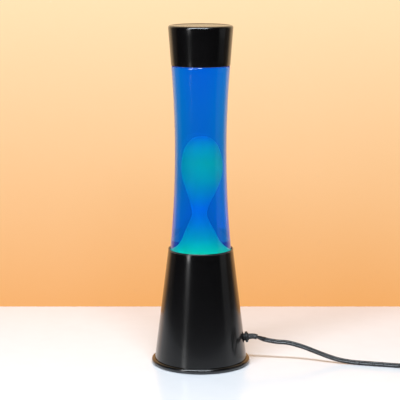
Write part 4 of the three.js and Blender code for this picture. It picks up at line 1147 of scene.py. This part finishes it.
def holder_case():
    """The moulded cup of the lampholder, with a fluted band for a grip."""
    low, high, _ = extent("holder_body")
    h = HOLDER
    radius, inside = h["radius"], h["radius"] - h["wall"]
    floor, inner_round = low + h["floor"], h["round"] - h["wall"]

    def fluted(x, y, z, r):
        share = ease(z, low + 0.006, low + 0.009) * (1 - ease(z, high - 0.012, high - 0.009))
        if r < radius - 0.0003 or share == 0:
            return x, y, z
        return pushed(x, y, z, r, -share * 0.0005 * (0.5 + 0.5 * math.cos(28 * math.atan2(y, x))))

    sides = [(radius, z) for z in rows_of(low + h["round"], high - 0.0075, 0.001)]
    piece("holder_case", turned([
        (h["mouth"], low), *arc(radius - h["round"], low + h["round"], h["round"], -90, -6, 9), *sides,
        (radius - 0.0005, high - 0.0072), (radius - 0.0005, high - 0.0064), (radius, high - 0.006),
        *arc(radius - 0.0008, high - 0.0008, 0.0008, 0, 180, 10), (inside, floor + inner_round),
        *arc(inside - inner_round, floor + inner_round, inner_round, -10, -90, 5), (h["mouth"], floor),
    ], 168, closed=True, shape=fluted), "base", "phenolic", "holder_body")


def holder_inside():
    """The porcelain core, the screw sleeve in it, and the sprung contact at its bottom."""
    low, high, outer = extent("holder_insert")
    floor, bore, chamfer = low + 0.0034, 0.0088, 0.0006
    piece("porcelain_core", turned([
        (0, low), (outer - chamfer, low), (outer, low + chamfer), (outer, high - chamfer),
        (outer - chamfer, high), (bore + chamfer, high), (bore, high - chamfer), (bore, floor + 0.0005),
        (bore - 0.0005, floor), (0, floor),
    ], 72), "base", "ceramic", "holder_insert")
    low, high, _ = extent("holder_screw_shell")
    rows = rows_of(low, high, THREAD_STEP)
    thread = spiral(THREAD["pitch"], -THREAD["depth"], low - 0.0015, high + 0.0015, 0.0015)
    sleeve = [(SLEEVE_ROOT, z) for z in rows] + [(SLEEVE_ROOT + 0.0005, z) for z in rows[::-1]]
    piece("screw_sleeve", turned(sleeve, 64, closed=True, shape=thread), "base", "brass",
          "holder_screw_shell", sharp=60)
    low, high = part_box("holder_contact")
    half_leaf = 0.0003
    base, crest = low[2] + half_leaf, high[2] - half_leaf
    leaf = ribbon([(-0.006, base), (-0.0035, base), (-0.0013, base + 0.0003), (0.0002, (base + crest) / 2),
                   (0.002, crest), (0.0032, crest - 0.0001), (0.0045, crest - 0.001)], 2 * half_leaf)
    rivet = turned([(0, 0), (0.0012, 0), (0.0011, 0.0005), (0.0005, 0.0008), (0, 0.00085)], 24)
    rivet = moved(rivet, -0.0045, 0, base + half_leaf)
    piece("contact_leaf", together(strip(leaf, high[1] - low[1]), rivet), "base", "brass", "holder_contact")


# ---------------------------------------------------------------- bulb

def bulb_cap():
    """The solder dot, the insulator and the threaded brass cap."""
    low, high, r = extent("bulb_tip")
    drop = [(r * math.sin(a), high - (high - low) * math.cos(a)) for a in np.linspace(0, TURN / 4, 9)]
    piece("solder_dot", turned([*drop, (r, high), (0, high + 0.0003)], 40), "bulb_contact", "solder",
          "bulb_tip", sharp=60)
    low, high, _ = extent("bulb_insulator")
    piece("tip_insulator", turned([
        (0, low - 0.0002), (0.0026, low - 0.0002), (0.0030, low), (0.0036, low + 0.0001),
        (CAP_ROOT - 0.0004, high - 0.0005), (CAP_ROOT - 0.0002, high + 0.0002), (0, high + 0.0002),
    ], 56), "bulb", "phenolic", "bulb_insulator")
    low, high, _ = extent("bulb_cap")
    skirt, start, wide, wall = high - 0.003, high - 0.0015, 0.008, 0.0006
    shape = spiral(THREAD["pitch"], THREAD["depth"], low, skirt, 0.0015, least=CAP_ROOT - wall / 2)
    profile = [(CAP_ROOT, z) for z in rows_of(low, skirt, THREAD_STEP)] + [
        (wide - 0.0002, start - 0.0001), (wide, start + 0.0002), (wide, high - 0.0002), (wide - 0.0002, high),
        (wide - wall, high), (CAP_ROOT - wall, skirt), (CAP_ROOT - wall, low),
    ]
    piece("edison_cap", turned(profile, 72, closed=True, shape=shape), "bulb", "brass", "bulb_cap", sharp=60)


def bulb_glass():
    """The thin reflector glass, and the solid stem inside it."""
    low, high, radius = extent("bulb_glass")
    neck, widest, face, thick = low - 0.0006, high - 0.012, 0.012, 0.0009
    dome = [(r, 0, z) for r, z in arc(0, widest, radius, 0, 89, 16, face)]
    line = smooth_path([(0.0074, 0, neck), (0.0077, 0, neck + 0.003), (0.0084, 0, neck + 0.0055),
                        (0.0110, 0, neck + 0.0116), (0.0169, 0, widest - 0.007), *dome], 0.0012)
    outside = [(r, z) for r, _, z in line]
    inside = [(max(r - 0.0008, 0), min(z, high - thick)) for r, z in outside][::-1]
    LOOKS["bulb_glass"] = bulb_glass_look(widest - 0.001, widest + 0.001).material
    piece("reflector_glass", turned([*outside, (0, high), (0, high - thick), *inside], 96, closed=True),
          "bulb", "bulb_glass", "bulb_glass", sharp=80)
    low, high, _ = extent("bulb_stem")
    piece("glass_stem", turned([
        (0, low), (0.0054, low), (0.0051, low + 0.0016), (0.0034, low + 0.0038), (0.0022, low + 0.0056),
        (0.0019, high - 0.0012), *arc(0.0012, high - 0.0007, 0.0007, 0, 90, 4), (0, high),
    ], 40), "bulb", "clear_glass", "bulb_stem", sharp=60)


def filament():
    """Two support legs, and the coiled wire between them."""
    base, top, _ = extent("bulb_filament")
    span, wind, turns, steps = 0.006, 0.00045, 30, 8
    for name, side in (("filament_legs", -1), ("filament_legs_2", 1)):
        leg = [(side * 0.0014, 0, base), (side * 0.0024, 0, base + 0.003), (side * span, 0, top - 0.0017),
               (side * span, 0, top - 0.0005)]
        piece(name, round_wire(leg, 0.00025, 8), "bulb", "tungsten", sharp=80)
    coil = [(-span + 2 * span * i / (turns * steps), wind * math.cos(TURN * i / steps),
             top - 2 * wind + wind * math.sin(TURN * i / steps)) for i in range(turns * steps + 1)]
    piece("filament_coil", round_wire(coil, 0.0001, 5, 0.0003), "bulb", "tungsten", "bulb_filament", sharp=80)


# ---------------------------------------------------------------- inline switch

SWITCH_X, SWITCH_Y = 0.2863, -0.0320
SWITCH_LENGTH, SWITCH_WIDTH, SWITCH_HEIGHT = 0.060, 0.022, 0.014
SWITCH_SPLIT = 0.007
SWITCH_SCREW = 0.023     # how far each screw is from the switch's middle
CONTACT_X = 0.0064
ROCKER = dict(half=0.0092, width=0.0092, axle_height=0.011, tilt=10, crown=0.0026, dip=0.0010)
TRAY_ROWS = [(0.0016, 0), (0.0007, 0.0003), (0.0002, 0.0009), (0, 0.0018), (0, SWITCH_SPLIT - 0.0003),
             (0.0002, SWITCH_SPLIT)]
LID_ROWS = [(0.0002, SWITCH_SPLIT + 0.0001), (0, SWITCH_SPLIT + 0.0004), (0, SWITCH_HEIGHT - 0.0030),
            (0.0003, SWITCH_HEIGHT - 0.0018), (0.0009, SWITCH_HEIGHT - 0.0008),
            (0.0019, SWITCH_HEIGHT - 0.0002), (0.0032, SWITCH_HEIGHT)]
# A collar's rings: how far out along the lead, and how large.
COLLAR_RINGS = [(0, 1.25), (0.0022, 1.22), (0.0026, 1.08), (0.0034, 1.06), (0.0038, 1.16), (0.0048, 1.13),
                (0.0052, 1.02), (0.0060, 1.00), (0.0064, 1.08), (0.0076, 1.03), (0.0080, 0.95)]


def switch_outline(inset, z, corner):
    return at_height(rounded_rectangle(SWITCH_LENGTH - 2 * inset, SWITCH_WIDTH - 2 * inset, corner, 10), z)


def switch_half(name, node, rows, pocket_rows, *tools):
    """A rounded box's half from rows of (inset, z), with a pocket of its own rows and more cuts."""
    outer = lofted([switch_outline(i, z, max(0.006 - i, 0.0005)) for i, z in rows])
    pocket = lofted([switch_outline(0.003 + i, z, 0.003 - i) for i, z in pocket_rows])
    half = cut(mesh_of("half", outer), pocket, *tools)
    half.transform(Matrix.Translation((SWITCH_X, SWITCH_Y, 0)))
    piece(name, half, "base", "black_plastic", node)


def switch_case():
    """The tray with its screw posts, the lid with its window, the grip ribs and the two collars."""
    split, top = SWITCH_SPLIT, SWITCH_HEIGHT
    entries = [moved(rod(0.0030, 0.012, 32), side * 0.030, 0, split, about("Y", 90)) for side in SIDES]
    bores = [hole(0.0027, side * SWITCH_SCREW, 0, 0, 0.0036, 32) for side in SIDES]
    switch_half("switch_tray", "switch_base", TRAY_ROWS, [(0.0006, 0.002), (0, 0.0026), (0, 0.02)],
                *entries, *bores)
    post = turned([(0.0015, 0.0018), (0.0026, 0.0018), (0.0026, split), (0.0015, split)], 32, closed=True)
    both = together(*[moved(post, SWITCH_X + side * SWITCH_SCREW, SWITCH_Y) for side in SIDES])
    piece("switch_posts", both, "base", "black_plastic")
    window, sunk = bar(0.0204, 0.0100, 0.03, 0.0005), moved(bar(0.0236, 0.0132, 0.0012, 0.0005), 0, 0, top)
    switch_half("switch_lid", "switch_cover", LID_ROWS, [(0, 0.0), (0, top - 0.0026), (0.0010, top - 0.0016)],
                window, sunk, *entries)
    ribs, collars = [], []
    for side in SIDES:
        for i in range(4):
            rib = bar(0.0010, 0.0140 - 0.0008 * i, 0.0008, 0.0003)
            ribs.append(moved(rib, SWITCH_X + side * (0.0150 + 0.0024 * i), SWITCH_Y, top - 0.0001))
        collars.append(lofted([
            [(SWITCH_X + side * (0.0285 + out), SWITCH_Y + 0.0034 * size * math.cos(a),
              split + 0.0025 * size * math.sin(a)) for a in np.arange(32) / 32 * TURN]
            for out, size in COLLAR_RINGS
        ]))
    piece("switch_grip", together(*ribs), "base", "black_plastic")
    piece("switch_collars", together(*collars), "base", "rubber", sharp=40)


def rocker():
    """The rocker with its ribbed, dished top, on its pin."""
    half, steps = ROCKER["half"], 96
    outline = [(-half, -0.0005), (-0.004, -0.003), (0.004, -0.003), (half, -0.0005)]
    for i in range(steps, -1, -1):
        u = -half + 2 * half * i / steps
        rib = 0.00022 * max(0, math.cos(TURN * u / 0.0013)) if abs(u) < 0.0078 else 0
        outline.append((u, ROCKER["crown"] + ROCKER["dip"] * (u / half) ** 2 + rib))
    pin = moved(rod(0.001, 0.0132, 20, 0.0001), turn=about("X", 90))
    whole = together(strip(outline, ROCKER["width"]), pin)
    whole = moved(whole, SWITCH_X, SWITCH_Y, ROCKER["axle_height"], about("Y", ROCKER["tilt"]))
    piece("rocker_paddle", whole, "rocker", "black_plastic", "switch_rocker", sharp=25)


def switch_inside():
    """The two contact leaves, and the screws that hold the halves together."""
    low = 0.0027
    for i, side in enumerate(SIDES):
        leaf = ribbon([(side * 0.020, low), (side * 0.010, low), (side * 0.0070, low + 0.0001),
                       (side * CONTACT_X, low + 0.0008), (side * CONTACT_X, low + 0.0038)], 0.0008)
        button = moved(rod(0.0009, 0.0006, 20, 0.0001), side * CONTACT_X, 0, low + 0.0035)
        made = moved(together(strip(leaf, 0.004), button), SWITCH_X, SWITCH_Y)
        piece(f"switch_leaf_{i + 1}", made, "base", "brass", f"switch_contact_{i + 1}")
    fixing = pan_screw(0.0100, head=0.0024, height=0.0012, shank=0.0012)
    for i, side in enumerate(SIDES):
        place = (SWITCH_X + side * SWITCH_SCREW, SWITCH_Y, 0.0015)
        set_screw("switch_fixing", "switch_screw", i + 1, fixing, place, about("Z", 30 + 70 * i), UPSIDE_DOWN)


# ---------------------------------------------------------------- plug

PIN_RADIUS = 0.002
PIN_OFFSET = 0.0093
PIN_SLEEVE = 0.0100


def plug_rings(face, tail, y, z, half, thick):
    """The plug's sections from its tail to its face, with a ribbed grip on its body."""
    edges = [(tail, 0.0034, 0.0030), (tail - 0.001, 0.0039, 0.0036), (tail - 0.003, 0.0045, 0.0045),
             (tail - 0.010, 0.0056, 0.0056), (tail - 0.016, 0.0078, 0.0064),
             (tail - 0.020, 0.0112, thick - 0.0001), (tail - 0.025, half - 0.0026, thick),
             (tail - 0.028, half - 0.0006, thick), (tail - 0.031, half, thick), (face + 0.004, half, thick),
             (face + 0.0012, half - 0.0006, thick - 0.0003), (face + 0.0004, half - 0.0014, thick - 0.0010),
             (face, half - 0.0024, thick - 0.0020)]
    rings = []
    for x, w, h in smooth_path(edges, 0.0005):
        grip = ease(x, face + 0.006, face + 0.008) * (1 - ease(x, tail - 0.025, tail - 0.023))
        wave = 0.00055 * grip * (0.5 - 0.5 * math.cos(TURN * (x - face) / 0.0028))
        w, h = min(w, half) - 0.6 * wave, min(h, thick) - wave
        corner = min(w, h) * 0.62
        rings.append([(x, y + a, z + b) for a, b in rounded_rectangle(2 * w, 2 * h, corner, 7)])
    return rings


def mains_plug():
    """The moulded plug, and its two round prongs with their sleeves."""
    low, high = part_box("plug_body")
    face, y, z = low[0], (low[1] + high[1]) / 2, (low[2] + high[2]) / 2
    rings = plug_rings(face, high[0], y, z, (high[1] - low[1]) / 2, (high[2] - low[2]) / 2)
    places = [y + side * PIN_OFFSET for side in (1, -1)]
    seats = [moved(rod(0.0028, 0.0012, 40), face, p, z, about("Y", 90)) for p in places]
    body = cut(mesh_of("plug", lofted(rings)), *seats)
    piece("plug_shell", body, "base", "black_plastic", "plug_body", sharp=40)
    outwards, r, sleeve = about("Y", -90), PIN_RADIUS, PIN_SLEEVE
    for i, p in enumerate(places):
        node = f"plug_pin_{i + 1}"
        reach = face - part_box(node)[0][0]
        pin = turned([
            (0, -0.006), (r - 0.0003, -0.006), (r - 0.0003, sleeve - 0.0002), (r, sleeve),
            (r, reach - 0.0014), *arc(r - 0.0012, reach - 0.0012, 0.0012, 0, 90, 7), (0, reach),
        ], 40)
        piece(f"plug_prong_{i + 1}", moved(pin, face, p, z, outwards), "base", "brass", node)
        guard = turned([(0, -0.0005), (r + 0.0002, -0.0005), (r + 0.0002, 0.0004), (r, 0.0009),
                        (r, sleeve - 0.0003), (r - 0.0002, sleeve), (0, sleeve)], 40)
        piece(f"plug_sleeve_{i + 1}", moved(guard, face, p, z, outwards), "base", "black_plastic")


# ---------------------------------------------------------------- the strap round the coil

STRAP = dict(reach=0.00755, low=0.0007, high=0.0125, thick=0.0007, width=0.007, corner=0.0026)


def strap_loop(grow):
    """The strap's outline in X and Z, moved outwards by a distance."""
    low, high = STRAP["low"], STRAP["high"]
    outline = rounded_rectangle(2 * (STRAP["reach"] + grow), high - low + 2 * grow, STRAP["corner"] + grow, 9)
    return [(a, b + (low + high) / 2) for a, b in outline]


def coil_strap():
    """A woven strap round the coil, with the end of its closure on the outside."""
    thick, edge = STRAP["thick"], STRAP["width"] / 2
    inner, outer = strap_loop(0.0), strap_loop(thick)
    rows = [[(a, v, b) for a, b in line] for line, v in
            ((outer, edge), (outer, -edge), (inner, -edge), (inner, edge))]
    band = [p for row in rows for p in row], grid_faces(4, len(inner), True)
    flap, under = [[p for p in strap_loop(thick + grow) if p[0] < -0.0052 and p[1] > 0.0030]
                   for grow in (0.0006, -0.0001)]
    ends = strip(flap + under[::-1], STRAP["width"])
    turn = about("Z", math.degrees(TIE_ANGLE) - 180)
    strap = moved(moved(together(band, ends), -COIL_RADIUS), *COIL_MIDDLE, 0, turn)
    piece("coil_strap", strap, "base", "rubber", "coil_tie", look="woven_strap", sharp=50)


for make in (
    strain_relief, inside_lead, inside_cores, cord_clamp, floor_plate, feet, base_screws,
    strap_bracket, tube_and_nut, holder_case, holder_inside, bulb_cap, bulb_glass, filament,
    switch_case, rocker, switch_inside, mains_plug, coil_strap,
):
    make()
